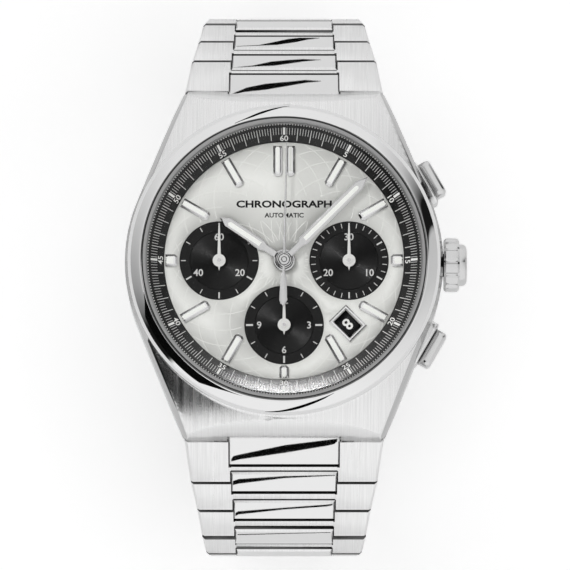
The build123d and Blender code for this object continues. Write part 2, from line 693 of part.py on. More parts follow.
def third_place():
    """Where the third arbor sits so that it meshes with the centre and fourth arbors."""
    x = -(SUBDIAL_OFFSET ** 2 + CENTRE_TO_THIRD ** 2 - THIRD_TO_FOURTH ** 2) / (2 * SUBDIAL_OFFSET)
    return (x, -math.sqrt(CENTRE_TO_THIRD ** 2 - x ** 2))


THIRD_PLACE = third_place()
BARREL_PLACE = polar(BARREL_TO_CENTRE, BARREL_DIRECTION)
ESCAPE_STEP = polar(FOURTH_TO_ESCAPE, ESCAPE_DIRECTION)
ESCAPE_PLACE = (FOURTH_PLACE[0] + ESCAPE_STEP[0], FOURTH_PLACE[1] + ESCAPE_STEP[1])
ARBOR_PIVOT = 0.2
PIVOT_CLEARANCE = 0.03


def arbor(low, high, radius=0.35):
    """Arbor with thin pivots that reach into the plate and the bridge."""
    body = disc(radius, low, high)
    return body + disc(ARBOR_PIVOT, low - 0.6, low) + disc(ARBOR_PIVOT, high, high + 0.6)


def barrel_shapes():
    to_centre = direction(BARREL_PLACE, (0, 0))
    teeth = gear(BARREL_TEETH, BARREL_MODULE, -3.75, -3.3, to_centre)
    drum = disc(4.85, -5.0, -3.75)
    body = teeth + drum + arbor(-5.3, -2.7, 0.8)
    return [Pos(*BARREL_PLACE, 0) * body]


def centre_wheel_shapes():
    to_third = direction((0, 0), THIRD_PLACE)
    wheel = gear(CENTRE_TEETH, CENTRE_MODULE, -3.1, -2.8, to_third)
    wheel = spoked(wheel, CENTRE_TEETH * CENTRE_MODULE / 2, 1.1, -3.1, -2.8)
    pinion_phase = BARREL_DIRECTION + 180 / CENTRE_PINION_TEETH
    pinion = gear(CENTRE_PINION_TEETH, BARREL_MODULE, -3.85, -3.1, pinion_phase)
    tube = disc(0.55, -4.2, MINUTE_HAND_Z + HAND_THICKNESS)
    return [wheel + pinion + tube - disc(0.33, -6, 3)]


def third_wheel_shapes():
    to_centre = direction(THIRD_PLACE, (0, 0))
    to_fourth = direction(THIRD_PLACE, FOURTH_PLACE)
    pinion_phase = to_centre + 180 / THIRD_PINION_TEETH
    pinion = gear(THIRD_PINION_TEETH, CENTRE_MODULE, -3.3, -2.75, pinion_phase)
    wheel = gear(THIRD_TEETH, THIRD_MODULE, -4.6, -4.4, to_fourth)
    wheel = spoked(wheel, THIRD_TEETH * THIRD_MODULE / 2, 1.0, -4.6, -4.4)
    return [Pos(*THIRD_PLACE, 0) * (wheel + pinion + arbor(-5.3, -2.7))]


def fourth_wheel_shapes():
    to_third = direction(FOURTH_PLACE, THIRD_PLACE)
    pinion_phase = to_third + 180 / FOURTH_PINION_TEETH
    pinion = gear(FOURTH_PINION_TEETH, THIRD_MODULE, -4.75, -4.25, pinion_phase)
    wheel = gear(FOURTH_TEETH, FOURTH_MODULE, -3.6, -3.4, ESCAPE_DIRECTION)
    wheel = spoked(wheel, FOURTH_TEETH * FOURTH_MODULE / 2, 0.9, -3.6, -3.4)
    shaft = disc(0.28, -5.3, SUB_HAND_Z + 0.06) + disc(ARBOR_PIVOT, -5.9, -5.3)
    return [Pos(*FOURTH_PLACE, 0) * (wheel + pinion + shaft)]


def escape_wheel_shapes():
    to_fourth = ESCAPE_DIRECTION + 180
    pinion = gear(ESCAPE_PINION_TEETH, FOURTH_MODULE, -3.75, -3.25, to_fourth + 180 / ESCAPE_PINION_TEETH)
    points = []
    teeth = 20
    for tooth in range(teeth):
        points.append(polar(1.65, 360 / teeth * tooth))
        points.append(polar(2.2, 360 / teeth * (tooth + 0.62)))
        points.append(polar(2.15, 360 / teeth * (tooth + 0.72)))
    wheel = plate(points, -4.95, -4.8)
    wheel = spoked(wheel, 1.9, 0.6, -4.95, -4.8)
    return [Pos(*ESCAPE_PLACE, 0) * (wheel + pinion + arbor(-5.3, -2.7, 0.22))]


def balance_shapes():
    low = -5.1
    high = -4.5
    rim = ring(BALANCE_RADIUS, BALANCE_RADIUS - 0.5, low, high)
    for spoke in range(3):
        rim += turned(120 * spoke) * block((0, BALANCE_RADIUS - 0.2), (-0.22, 0.22), (low, low + 0.25))
    staff = arbor(-5.3, -2.7, 0.3) + disc(0.9, -3.9, -3.6)
    weights = []
    for weight in range(4):
        x, y = polar(BALANCE_RADIUS - 0.25, 45 + 90 * weight)
        weights.append(disc(0.18, high, high + 0.15, x, y))
    shape = rim + staff
    for weight in weights:
        shape += weight
    return [Pos(*BALANCE_CENTRE, 0) * shape]


def pivot_holes(shape, low, high):
    """Bores for the pivots of the train."""
    for place in (THIRD_PLACE, FOURTH_PLACE, ESCAPE_PLACE, BARREL_PLACE):
        shape -= disc(ARBOR_PIVOT + PIVOT_CLEARANCE, low - 1, high + 1, *place)
    return shape


def main_plate():
    body = disc(MOVEMENT_RADIUS, PLATE_BOTTOM_Z, PLATE_TOP_Z)
    body -= disc(0.62, -6, 3)
    body = pivot_holes(body, PLATE_BOTTOM_Z, PLATE_TOP_Z)
    body -= disc(ARBOR_PIVOT + PIVOT_CLEARANCE, -6, 3, *BALANCE_CENTRE)
    for x, y in subdial_centres():
        body -= disc(0.32, -6, 3, x, y)
    wall = ring(MOVEMENT_RADIUS, 14.1, BRIDGE_TOP_Z, PLATE_BOTTOM_Z)
    wall -= block((9, 16), (-1.6, 1.6), (BRIDGE_TOP_Z - 1, PLATE_BOTTOM_Z))
    body += wall
    body -= Pos(14, 0, CROWN_Z) * along_x(Cylinder(STEM_RADIUS + 0.1, 8))
    hub = ring(1.6, 0.62, PLATE_TOP_Z, PLATE_TOP_Z + 0.02)
    return [body + hub]


def train_bridge():
    body = disc(MOVEMENT_RADIUS, BRIDGE_BOTTOM_Z, BRIDGE_TOP_Z)
    body -= disc(BALANCE_RADIUS + 1.0, -8, -4, *BALANCE_CENTRE)
    body -= disc(0.36, -8, -4)
    body = pivot_holes(body, BRIDGE_BOTTOM_Z, BRIDGE_TOP_Z)
    body += ring(1.5, 0.4, -7.5, BRIDGE_BOTTOM_Z)
    body += disc(2.1, -7.75, -7.5) - disc(0.4, -8, -7)
    for x, y in bridge_screw_places():
        body -= disc(0.4, -8, -4, x, y)
        body -= disc(0.72, BRIDGE_BOTTOM_Z - 1, BRIDGE_BOTTOM_Z + 0.35, x, y)
    return [body]


def bridge_screw_places():
    return [polar(12.6, angle) for angle in (10, 75, 165, 215, 265, 320)]


def slotted_screw(head_radius, head_low, head_high, shank_radius, shank_high, slot):
    """Screw whose slotted head faces down."""
    body = disc(head_radius, head_low, head_high) + disc(shank_radius, head_high, shank_high)
    reach = head_radius + 1
    body -= block((-reach, reach), (-slot / 2, slot / 2), (head_low - 1, head_low + 0.15))
    return body


def bridge_screws():
    screws = []
    for index, (x, y) in enumerate(bridge_screw_places()):
        head = (BRIDGE_BOTTOM_Z - 0.02, BRIDGE_BOTTOM_Z + 0.35)
        screw = slotted_screw(0.7, head[0], head[1], 0.38, BRIDGE_TOP_Z - 0.02, 0.2)
        screws.append(Pos(x, y, 0) * turned(37 * index) * screw)
    return screws


def balance_cock():
    """Arm that holds the outer pivot of the balance."""
    x, y = BALANCE_CENTRE
    outward = math.degrees(math.atan2(y, x))
    arm = block((-1.3, 15.0 - math.hypot(x, y) - 0.3), (-1.3, 1.3), (BRIDGE_BOTTOM_Z, BRIDGE_TOP_Z))
    arm += disc(1.6, BRIDGE_BOTTOM_Z, BRIDGE_TOP_Z)
    arm = Pos(x, y, 0) * turned(outward) * arm
    arm -= disc(ARBOR_PIVOT + PIVOT_CLEARANCE, -8, -4, x, y)
    arm = arm & disc(MOVEMENT_RADIUS, -8, -4)
    return [arm]


def rotor():
    hub = ring(3.2, 1.53, -7.45, -6.75)
    web = disc(11.4, -7.35, -7.05) & block((-15, 15), (-15, 1.2), (-9, -5))
    web -= disc(1.53, -9, -5)
    rim = ring(ROTOR_RADIUS, 11.2, -7.85, -6.75) & block((-15, 15), (-15, 0), (-9, -5))
    body = hub + web + rim
    for side in (-1, 1):
        body -= turned(-90 + side * 38) * block((4.6, 10.2), (-1.4, 1.4), (-9, -5))
    return [body]


def movement_ring():
    body = ring(CASE_BORE - 0.04, 15.02, -7.3, SEAT_Z - 0.1)
    body -= Pos(16, 0, CROWN_Z) * along_x(Cylinder(STEM_RADIUS + 0.25, 6))
    for side in (1, -1):
        body -= pusher_frame(side) * Pos(16, 0, 0) * along_x(Cylinder(PUSHER_STEM_RADIUS + 0.2, 6))
    return [body]


def caseback():
    body = spun([
        (12.5, -8.75), (12.5, -9.3), (13.4, -9.3), (13.4, BACK_Z + 0.08), (13.5, BACK_Z),
        (17.3, BACK_Z), (BACK_RADIUS, -9.4), (BACK_RADIUS, CASE_BOTTOM_Z), (16.12, CASE_BOTTOM_Z),
        (16.12, -7.4), (15.1, -7.4), (15.1, -8.75),
    ])
    for screw in range(6):
        x, y = polar(BACK_SCREW_CIRCLE, 60 * screw)
        body -= disc(0.55, -11, -8, x, y)
        body -= disc(0.95, -11, BACK_Z + 0.55, x, y)
    return [body]


def caseback_screws():
    screws = []
    for screw in range(6):
        x, y = polar(BACK_SCREW_CIRCLE, 60 * screw)
        shape = slotted_screw(0.9, BACK_Z + 0.1, BACK_Z + 0.5, 0.47, CASE_BOTTOM_Z + 2.0, 0.25)
        screws.append(Pos(x, y, 0) * turned(29 * screw) * shape)
    return screws


def caseback_window():
    return [spun([(0, -9.35), (0, -10.2), (13.15, -10.2), (WINDOW_RADIUS, -10.0), (WINDOW_RADIUS, -9.35)])]


# ================================================================ clasp (floor frame)
def clasp_cover():
    """Channel with a tongue that the last link hinges on, and a barrel for the folding leaf."""
    half = CLASP_WIDTH / 2
    start_y = COVER_HINGE[0] - 0.6
    end_y = CLASP_END_Y - 1.55
    shell = block((-half, half), (start_y, end_y), (0, CLASP_WALL_TOP))
    shell = chamfer(shell.edges().filter_by(Axis.Y).group_by(Axis.Z)[0], 0.5)
    inner = half - CLASP_WALL
    shell -= block((-inner, inner), (start_y - 1, end_y - 0.8), (CLASP_PLATE, 10))
    tongue_half = CENTRE_WIDTHS[-1] / 2
    tongue_top = CLASP_PIN_Z + TONGUE_RADIUS
    tongue = block((-tongue_half, tongue_half), (end_y - 0.5, CLASP_END_Y), (0.7, tongue_top))
    tongue += cross_rod(TONGUE_RADIUS, tongue_half, CLASP_END_Y, CLASP_PIN_Z)
    shell += tongue
    shell -= cross_rod(PIN_RADIUS, tongue_half + 1, CLASP_END_Y, CLASP_PIN_Z)
    for side in (-1, 1):
        lug = block((-0.7, 0.7), (COVER_HINGE[0] - 0.6, COVER_HINGE[0] + 0.9), (0.5, COVER_HINGE[1]))
        lug += cross_rod(0.6, 0.7, *COVER_HINGE)
        shell += Pos(side * (LEAF_HALF_WIDTH - 0.3), 0, 0) * lug
        window = block(
            (-1, 1),
            (BUTTON_Y - BUTTON_LENGTH / 2 - 0.06, BUTTON_Y + BUTTON_LENGTH / 2 + 0.06),
            (1.25, 1.25 + BUTTON_HEIGHT + 0.12),
        )
        shell -= Pos(side * half, 0, 0) * window
    shell -= cross_rod(LEAF_PIN_RADIUS, LEAF_HALF_WIDTH + 0.2, *COVER_HINGE)
    pin = cross_rod(PIN_RADIUS, tongue_half + SIDE_GAP + 1.2, CLASP_END_Y, CLASP_PIN_Z)
    hinge_pin = cross_rod(LEAF_PIN_RADIUS, LEAF_HALF_WIDTH + 0.2, *COVER_HINGE)
    return [shell, pin, hinge_pin]


def clasp_inner_leaf():
    """Leaf that folds flat inside the cover, hinged to the cover and to the outer leaf."""
    half = LEAF_HALF_WIDTH - 1.2
    body = block((-half, half), (COVER_HINGE[0], LEAF_HINGE[0]), (1.4, 2.0))
    body += cross_rod(0.62, half, *COVER_HINGE)
    body -= block((-3.6, 3.6), (LEAF_HINGE[0] - 1.0, LEAF_HINGE[0] + 2), (0, 5))
    for side in (-1, 1):
        ear = block((-1.25, 1.25), (LEAF_HINGE[0] - 1.2, LEAF_HINGE[0]), (1.55, 2.25))
        ear += cross_rod(0.7, 1.25, *LEAF_HINGE)
        body += Pos(side * (half - 1.25), 0, 0) * ear
    body -= cross_rod(LEAF_PIN_RADIUS + PIN_CLEARANCE, 10, *COVER_HINGE)
    body -= cross_rod(LEAF_PIN_RADIUS, 10, *LEAF_HINGE)
    body -= block((-3.0, 3.0), (-10, 9), (0, 5))
    pin = cross_rod(LEAF_PIN_RADIUS, half, *LEAF_HINGE)
    return [body, pin]


def clasp_outer_leaf():
    """Leaf that rests against the wrist and ends in the tongue for the 6 o'clock side."""
    low = 2.62
    high = 3.25
    half_width = LEAF_HALF_WIDTH - 1.0
    body = block((-half_width, half_width), (COVER_HINGE[0] - 1.5, LEAF_HINGE[0] - 1.1), (low, high))
    neck = block((-3.4, 3.4), (LEAF_HINGE[0] - 1.6, LEAF_HINGE[0]), (low - 0.1, high - 0.35))
    body += neck + cross_rod(0.7, 3.4, *LEAF_HINGE)
    body -= cross_rod(LEAF_PIN_RADIUS + PIN_CLEARANCE, 10, *LEAF_HINGE)
    tongue_half = CENTRE_WIDTHS[-1] / 2
    bend = block((-tongue_half, tongue_half), (-CLASP_END_Y + 0.1, COVER_HINGE[0] - 1.3), (low - 0.35, high))
    body += bend + cross_rod(TONGUE_RADIUS, tongue_half, -CLASP_END_Y, CLASP_PIN_Z)
    bar = cross_rod(PIN_RADIUS, tongue_half - 0.2, -CLASP_END_Y, CLASP_PIN_Z)
    body -= cross_rod(PIN_RADIUS, 10, -CLASP_END_Y, CLASP_PIN_Z)
    body -= block((-2.0, 2.0), (-9, 8), (0, 5))
    return [body, bar]


def clasp_button(side):
    half = CLASP_WIDTH / 2
    y_range = (BUTTON_Y - BUTTON_LENGTH / 2, BUTTON_Y + BUTTON_LENGTH / 2)
    cap = block((half - 0.9, half + 0.55), y_range, (1.31, 1.31 + BUTTON_HEIGHT))
    cap = fillet(cap.faces().sort_by(Axis.X)[-1].edges(), 0.3)
    if side < 0:
        cap = turned(180) * Pos(0, -2 * BUTTON_Y, 0) * cap
    return [cap]


def main():
    os.makedirs("parts", exist_ok=True)
    save("case_middle", [case_middle()])
    save("bezel", [bezel()])
    save("crystal", [crystal()])
    save("crystal_gasket", [ring(BEZEL_INNER - 0.04, CRYSTAL_RADIUS + 0.02, 1.2, 2.72)])
    save("flange_ring", [flange_ring()])
    save("dial", [dial()])
    save("dial_appliques", dial_appliques())
    save("date_disc", [ring(13.6, 9.6, DISC_BOTTOM_Z, DISC_TOP_Z)])
    save("hour_hand", hour_hand_shapes())
    save("minute_hand", minute_hand_shapes())
    save("chrono_seconds_hand", chrono_hand_shapes())
    seconds_hand = sub_hand() - disc(0.28, -1, SUB_HAND_Z + 0.06)
    save("small_seconds_hand", [Pos(-SUBDIAL_OFFSET, 0, 0) * seconds_hand])
    save("minute_counter_hand", counter_shapes(SUBDIAL_OFFSET, 0))
    save("hour_counter_hand", counter_shapes(0, -SUBDIAL_OFFSET))
    save("crown", [crown()])
    save("winding_stem", [winding_stem()])
    save("crown_gasket", [crown_gasket()])
    save("case_tubes", case_tubes())
    save("start_pusher", [pusher(1)])
    save("reset_pusher", [pusher(-1)])
    save("movement_ring", movement_ring())
    save("main_plate", main_plate())
    save("train_bridge", train_bridge())
    save("bridge_screws", bridge_screws())
    save("balance_cock", balance_cock())
    save("barrel", barrel_shapes())
    save("centre_wheel", centre_wheel_shapes())
    save("third_wheel", third_wheel_shapes())
    save("fourth_wheel", fourth_wheel_shapes())
    save("escape_wheel", escape_wheel_shapes())
    save("balance_wheel", balance_shapes())
    save("rotor", rotor())
    save("caseback", caseback())
    save("caseback_window", caseback_window())
    save("caseback_screws", caseback_screws())
    for row in range(len(LINK_SLOPES)):
        shapes = row_shapes(row)
        placed = [link_place(row) * shape for shape in shapes]
        save("twelve_link_" + str(row + 1), placed)
        save("six_link_" + str(row + 1), [turned(180) * shape for shape in placed])
    save("clasp_cover", clasp_cover(), 0)
    save("clasp_inner_leaf", clasp_inner_leaf(), 0)
    save("clasp_outer_leaf", clasp_outer_leaf(), 0)
    save("clasp_button_right", clasp_button(1), 0)
    save("clasp_button_left", clasp_button(-1), 0)


main()
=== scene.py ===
"""Looks of the chronograph wristwatch: printed dial, hands, crystal, metal finishes, light and camera."""

import json
import math

import bmesh
import bpy
from mathutils import Matrix, Vector


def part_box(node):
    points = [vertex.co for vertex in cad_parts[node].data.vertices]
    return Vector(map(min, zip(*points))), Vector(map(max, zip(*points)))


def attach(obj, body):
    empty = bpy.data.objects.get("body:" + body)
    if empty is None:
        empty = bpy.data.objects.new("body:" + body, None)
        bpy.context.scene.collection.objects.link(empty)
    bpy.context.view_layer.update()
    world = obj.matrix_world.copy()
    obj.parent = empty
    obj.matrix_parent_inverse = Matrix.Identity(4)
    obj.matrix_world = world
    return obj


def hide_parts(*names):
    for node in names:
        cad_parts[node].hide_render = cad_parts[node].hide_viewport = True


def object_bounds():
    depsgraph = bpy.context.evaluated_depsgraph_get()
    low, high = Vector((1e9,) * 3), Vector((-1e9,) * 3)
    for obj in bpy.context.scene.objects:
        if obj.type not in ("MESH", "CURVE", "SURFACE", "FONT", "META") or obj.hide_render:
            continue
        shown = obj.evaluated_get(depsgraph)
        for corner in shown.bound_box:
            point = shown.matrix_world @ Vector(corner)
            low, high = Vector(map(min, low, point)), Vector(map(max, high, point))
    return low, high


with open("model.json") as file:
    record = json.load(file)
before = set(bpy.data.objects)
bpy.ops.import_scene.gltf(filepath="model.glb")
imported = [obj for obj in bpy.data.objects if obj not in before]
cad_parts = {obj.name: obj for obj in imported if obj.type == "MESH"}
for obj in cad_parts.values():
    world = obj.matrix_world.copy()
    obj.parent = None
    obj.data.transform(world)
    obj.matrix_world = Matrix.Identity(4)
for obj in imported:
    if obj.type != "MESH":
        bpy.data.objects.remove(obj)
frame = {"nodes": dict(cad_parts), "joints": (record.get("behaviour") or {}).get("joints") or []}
cad_low, cad_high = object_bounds()
nodes = frame["nodes"]

MM = 0.001
DIAL_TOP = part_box("dial")[1].z / MM

# Dial layout in millimetres, with the dial face at Z = 0.
SUBDIAL_OFFSET = 8.35
SUBDIAL_RADIUS = 5.12
SUBDIAL_FLOOR = -0.12
DATE_RADIUS = 11.56
FLANGE_FOOT = (15.46, 0.1)
FLANGE_HEAD = (17.35, 1.5)
FLANGE_TILT = math.atan2(FLANGE_HEAD[1] - FLANGE_FOOT[1], FLANGE_HEAD[0] - FLANGE_FOOT[0])
INK = 0.02
RING_SEGMENTS = 288


# ---------------------------------------------------------------- node helpers
def new_material(name):
    """Material, its node tree and its main shader."""
    material = bpy.data.materials.new(name)
    material.use_nodes = True
    tree = material.node_tree
    return material, tree, tree.nodes["Principled BSDF"]


def node(tree, kind, **values):
    """Shader node, with values for its sockets or its own settings."""
    made = tree.nodes.new("ShaderNode" + kind)
    for key, value in values.items():
        if key in made.inputs:
            made.inputs[key].default_value = value
        else:
            setattr(made, key, value)
    return made


def stretched_noise(tree, scale, stretch, detail=4.0):
    """Noise in the object's frame, drawn out along an axis by a small scale on it."""
    place = node(tree, "TexCoord")
    mapping = node(tree, "Mapping")
    mapping.inputs["Scale"].default_value = stretch
    noise = node(tree, "TexNoise", Scale=scale, Detail=detail, Roughness=0.6)
    tree.links.new(place.outputs["Object"], mapping.inputs["Vector"])
    tree.links.new(mapping.outputs["Vector"], noise.inputs["Vector"])
    return noise


def ranged(tree, source, low, high, from_low=0.3, from_high=0.7):
    """Value stretched from one range to another."""
    span = node(tree, "MapRange")
    span.inputs["From Min"].default_value = from_low
    span.inputs["From Max"].default_value = from_high
    span.inputs["To Min"].default_value = low
    span.inputs["To Max"].default_value = high
    tree.links.new(source, span.inputs["Value"])
    return span.outputs["Result"]


def bump(tree, shader, height, strength, distance):
    """Fine relief on a shader, from a value."""
    made = node(tree, "Bump", Strength=strength, Distance=distance)
    tree.links.new(height, made.inputs["Height"])
    tree.links.new(made.outputs["Normal"], shader.inputs["Normal"])


def tinted(tree, shader, source, dark, light):
    """Base colour between two greys, driven by a value."""
    ramp = node(tree, "ValToRGB")
    ramp.color_ramp.elements[0].position = 0.3
    ramp.color_ramp.elements[1].position = 0.7
    ramp.color_ramp.elements[0].color = (*dark, 1.0)
    ramp.color_ramp.elements[1].color = (*light, 1.0)
    tree.links.new(source, ramp.inputs["Fac"])
    tree.links.new(ramp.outputs["Color"], shader.inputs["Base Color"])


# ---------------------------------------------------------------- materials
def brushed_steel(name, stretch, grey=0.72, rough=0.32):
    """Steel with fine parallel brushing along the axis whose stretch is small."""
    material, tree, shader = new_material(name)
    fine = stretched_noise(tree, 9000.0, stretch, 3.0)
    broad = stretched_noise(tree, 1500.0, stretch, 2.0)
    shader.inputs["Metallic"].default_value = 1.0
    tinted(tree, shader, fine.outputs["Fac"], (grey * 0.93,) * 3, (min(grey * 1.06, 1.0),) * 3)
    tree.links.new(ranged(tree, broad.outputs["Fac"], rough - 0.05, rough + 0.06), shader.inputs["Roughness"])
    bump(tree, shader, fine.outputs["Fac"], 0.25, 0.00002)
    return material


def polished_steel(name, grey=0.78, rough=0.055):
    """Mirror steel with very faint swirls left by polishing."""
    material, tree, shader = new_material(name)
    haze = stretched_noise(tree, 700.0, (1.0, 1.0, 1.0), 5.0)
    shader.inputs["Metallic"].default_value = 1.0
    tinted(tree, shader, haze.outputs["Fac"], (grey * 0.99,) * 3, (grey,) * 3)
    tree.links.new(ranged(tree, haze.outputs["Fac"], rough * 0.7, rough * 1.4), shader.inputs["Roughness"])
    return material


def fine_paint(name, colour, rough=0.55, grain=0.0, grain_scale=12000.0, metallic=0.0, gloss=0.5):
    """Lacquer or print with a fine grain."""
    material, tree, shader = new_material(name)
    shader.inputs["Specular IOR Level"].default_value = gloss
    speck = stretched_noise(tree, grain_scale, (1.0, 1.0, 1.0), 4.0)
    shader.inputs["Metallic"].default_value = metallic
    dark = tuple(channel * 0.96 for channel in colour)
    tinted(tree, shader, speck.outputs["Fac"], dark, colour)
    tree.links.new(ranged(tree, speck.outputs["Fac"], rough - 0.05, rough + 0.05), shader.inputs["Roughness"])
    if grain:
        bump(tree, shader, speck.outputs["Fac"], grain, 0.00002)
    return material


def clear_crystal():
    """Thin, coated sapphire: what is behind shows through unbent, with a weak mirror on top."""
    material, tree, shader = new_material("sapphire_clear")
    shader.inputs["Base Color"].default_value = (0.02, 0.025, 0.03, 1.0)
    shader.inputs["Roughness"].default_value = 0.02
    shader.inputs["IOR"].default_value = 1.6
    see_through = node(tree, "BsdfTransparent")
    facing = node(tree, "Fresnel", IOR=1.16)
    share = ranged(tree, facing.outputs["Fac"], 0.0, 0.1, 0.0, 0.1)
    mix = node(tree, "MixShader")
    tree.links.new(share, mix.inputs["Fac"])
    tree.links.new(see_through.outputs["BSDF"], mix.inputs[1])
    tree.links.new(shader.outputs["BSDF"], mix.inputs[2])
    tree.links.new(mix.outputs["Shader"], tree.nodes["Material Output"].inputs["Surface"])
    return material


ALONG_Y = (1.0, 0.015, 1.0)
ALONG_X = (0.015, 1.0, 1.0)
DOWN_SLOPE = (1.0, 0.015, 0.015)
# Brushed steel: axis, grey, roughness. Polished steel: grey, roughness. Paint: colour, roughness, grain.
LOOKS = {
    "case_brushed": brushed_steel("case_brushed", DOWN_SLOPE, 0.82, 0.24),
    "crescent_satin": brushed_steel("crescent_satin", DOWN_SLOPE, 0.82, 0.36),
    "flank_brushed": brushed_steel("flank_brushed", ALONG_Y, 0.7, 0.3),
    "link_brushed": brushed_steel("link_brushed", (1.0, 0.02, 0.02), 0.84, 0.3),
    # Dark steel: painted shade for the gaps between link rows and in the pockets.
    "gap_steel": brushed_steel("gap_steel", DOWN_SLOPE, 0.14, 0.4),
    "clasp_brushed": brushed_steel("clasp_brushed", ALONG_Y, 0.68, 0.34),
    "bevel_polished": polished_steel("bevel_polished", 0.56, 0.09),
    "centre_polished": polished_steel("centre_polished", 0.82, 0.012),
    "bezel_polished": polished_steel("bezel_polished", 0.82, 0.03),
    "marker_polished": polished_steel("marker_polished", 0.8, 0.12),
    "hand_polished": polished_steel("hand_polished", 0.62, 0.2),
    "hand_white": fine_paint("hand_white", (0.72, 0.72, 0.7), 0.35),
    "flange_black": fine_paint("flange_black", (0.009, 0.009, 0.009), 0.3, gloss=0.42),
    "scale_white": fine_paint("scale_white", (0.72, 0.72, 0.71), 0.6),
    "pin_steel": polished_steel("pin_steel", 0.6, 0.15),
    "dial_silver": fine_paint("dial_silver", (0.76, 0.765, 0.735), 0.5, 0.15, 14000.0),
    # Black print for the words and the date disc, and also painted groove shade on the hubs.
    "black_print": fine_paint("black_print", (0.012, 0.012, 0.013), 0.42, 0.05, gloss=0.1),
    "subdial_black": fine_paint("subdial_black", (0.009, 0.009, 0.009), 0.3, gloss=0.16),
    "white_print": fine_paint("white_print", (0.86, 0.86, 0.84), 0.6),
    "pale_print": fine_paint("pale_print", (0.6, 0.6, 0.59), 0.6),
    "crown_steel": polished_steel("crown_steel", 0.66, 0.12),
    "lume": fine_paint("lume", (0.9, 0.91, 0.87), 0.7, 0.2),
    "guilloche": fine_paint("guilloche", (0.81, 0.815, 0.785), 0.5),
    "gasket": fine_paint("gasket", (0.4, 0.4, 0.4), 0.45),
    "rim_grey": fine_paint("rim_grey", (0.5, 0.5, 0.5), 0.5),
    # Black: the crown's rubber gasket, and also painted shadow at the crystal gasket's edge.
    "rubber": fine_paint("rubber", (0.02, 0.02, 0.02), 0.7),
    "nickel": brushed_steel("nickel", ALONG_X, 0.62, 0.3),
    "gilt": fine_paint("gilt", (0.78, 0.58, 0.27), 0.28, 0.0, 8000.0, 1.0),
    "crystal": clear_crystal(),
}


# ---------------------------------------------------------------- mesh helpers (millimetres, dial at Z = 0)
def piece_from_mesh(name, mesh, look, body, replaced, smooth):
    """Piece in the scene, in metres, with its look, body, slot and the nodes it replaces."""
    mesh.transform(Matrix.Translation((0, 0, DIAL_TOP * MM)) @ Matrix.Scale(MM, 4))
    mesh.validate()
    mesh.update()
    obj = bpy.data.objects.new(name, mesh)
    bpy.context.scene.collection.objects.link(obj)
    mesh.materials.append(LOOKS[look])
    mesh.shade_smooth()
    mesh.set_sharp_from_angle(angle=math.radians(smooth))
    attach(obj, body)
    if replaced:
        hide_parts(*replaced)


def mesh_from(name, points, faces):
    """Mesh with all its faces turned outward."""
    mesh = bpy.data.meshes.new(name)
    mesh.from_pydata(points, [], faces)
    tidy = bmesh.new()
    tidy.from_mesh(mesh)
    bmesh.ops.recalc_face_normals(tidy, faces=tidy.faces)
    tidy.to_mesh(mesh)
    tidy.free()
    return mesh


def piece(name, part, look, body, replaced=(), smooth=30.0):
    """Piece from one (points, faces) pair, or from a list of them."""
    mesh = joined(name, part) if isinstance(part, list) else mesh_from(name, *part)
    piece_from_mesh(name, mesh, look, body, replaced, smooth)


def joined(name, parts):
    """One mesh from several (points, faces) pairs."""
    points = []
    faces = []
    for part_points, part_faces in parts:
        start = len(points)
        points.extend(part_points)
        faces.extend([tuple(index + start for index in face) for face in part_faces])
    return mesh_from(name, points, faces)


def lathe(outline, segments=192, closed=True):
    """Points and faces of an outline of (radius, z) turned about Z; radius 0 makes a pole."""
    points = []
    rings = []
    for radius, z in outline:
        if radius == 0:
            points.append((0, 0, z))
            rings.append([len(points) - 1] * segments)
            continue
        ring = []
        for step in range(segments):
            angle = 2 * math.pi * step / segments
            points.append((radius * math.cos(angle), radius * math.sin(angle), z))
            ring.append(len(points) - 1)
        rings.append(ring)
    faces = []
    count = len(rings)
    for index in range(count if closed else count - 1):
        lower = rings[index]
        upper = rings[(index + 1) % count]
        for step in range(segments):
            following = (step + 1) % segments
            corners = [lower[step], lower[following], upper[following], upper[step]]
            unique = list(dict.fromkeys(corners))
            if len(unique) > 2:
                faces.append(tuple(unique))
    return points, faces


def arc_points(start, middle, end, steps):
    """Points along the circle through three (x, z) points, ends included."""
    (ax, ay), (bx, by), (cx, cy) = start, middle, end
    d = 2 * (ax * (by - cy) + bx * (cy - ay) + cx * (ay - by))
    a2, b2, c2 = ax * ax + ay * ay, bx * bx + by * by, cx * cx + cy * cy
    ux = (a2 * (by - cy) + b2 * (cy - ay) + c2 * (ay - by)) / d
    uy = (a2 * (cx - bx) + b2 * (ax - cx) + c2 * (bx - ax)) / d
    radius = math.hypot(ax - ux, ay - uy)
    first = math.atan2(ay - uy, ax - ux)
    last = math.atan2(cy - uy, cx - ux)
    turn = (last - first + math.pi) % (2 * math.pi) - math.pi
    angles = [first + turn * step / steps for step in range(steps + 1)]
    return [(ux + radius * math.cos(angle), uy + radius * math.sin(angle)) for angle in angles]


def inset_outline(outline, distance):
    """Convex anticlockwise outline moved inward by a distance."""
    count = len(outline)
    lines = []
    for index in range(count):
        (ax, ay), (bx, by) = outline[index], outline[(index + 1) % count]
        length = math.hypot(bx - ax, by - ay)
        nx, ny = -(by - ay) / length, (bx - ax) / length
        lines.append((ax + nx * distance, ay + ny * distance, bx - ax, by - ay))
    moved = []
    for index in range(count):
        x1, y1, dx1, dy1 = lines[index - 1]
        x2, y2, dx2, dy2 = lines[index]
        cross = dx1 * dy2 - dy1 * dx2
        along = ((x2 - x1) * dy2 - (y2 - y1) * dx2) / cross
        moved.append((x1 + along * dx1, y1 + along * dy1))
    return moved


def stacked(levels):
    """Solid through outlines of equal count, each with its height, closed by flat ends."""
    count = len(levels[0][0])
    last = (len(levels) - 1) * count
    points = [(x, y, z) for outline, z in levels for x, y in outline]
    faces = [tuple(range(count))[::-1], tuple(range(last, last + count))]
    for base in range(0, last, count):
        for index in range(count):
            following = (index + 1) % count
            faces.append((base + index, base + following, base + count + following, base + count + index))
    return points, faces


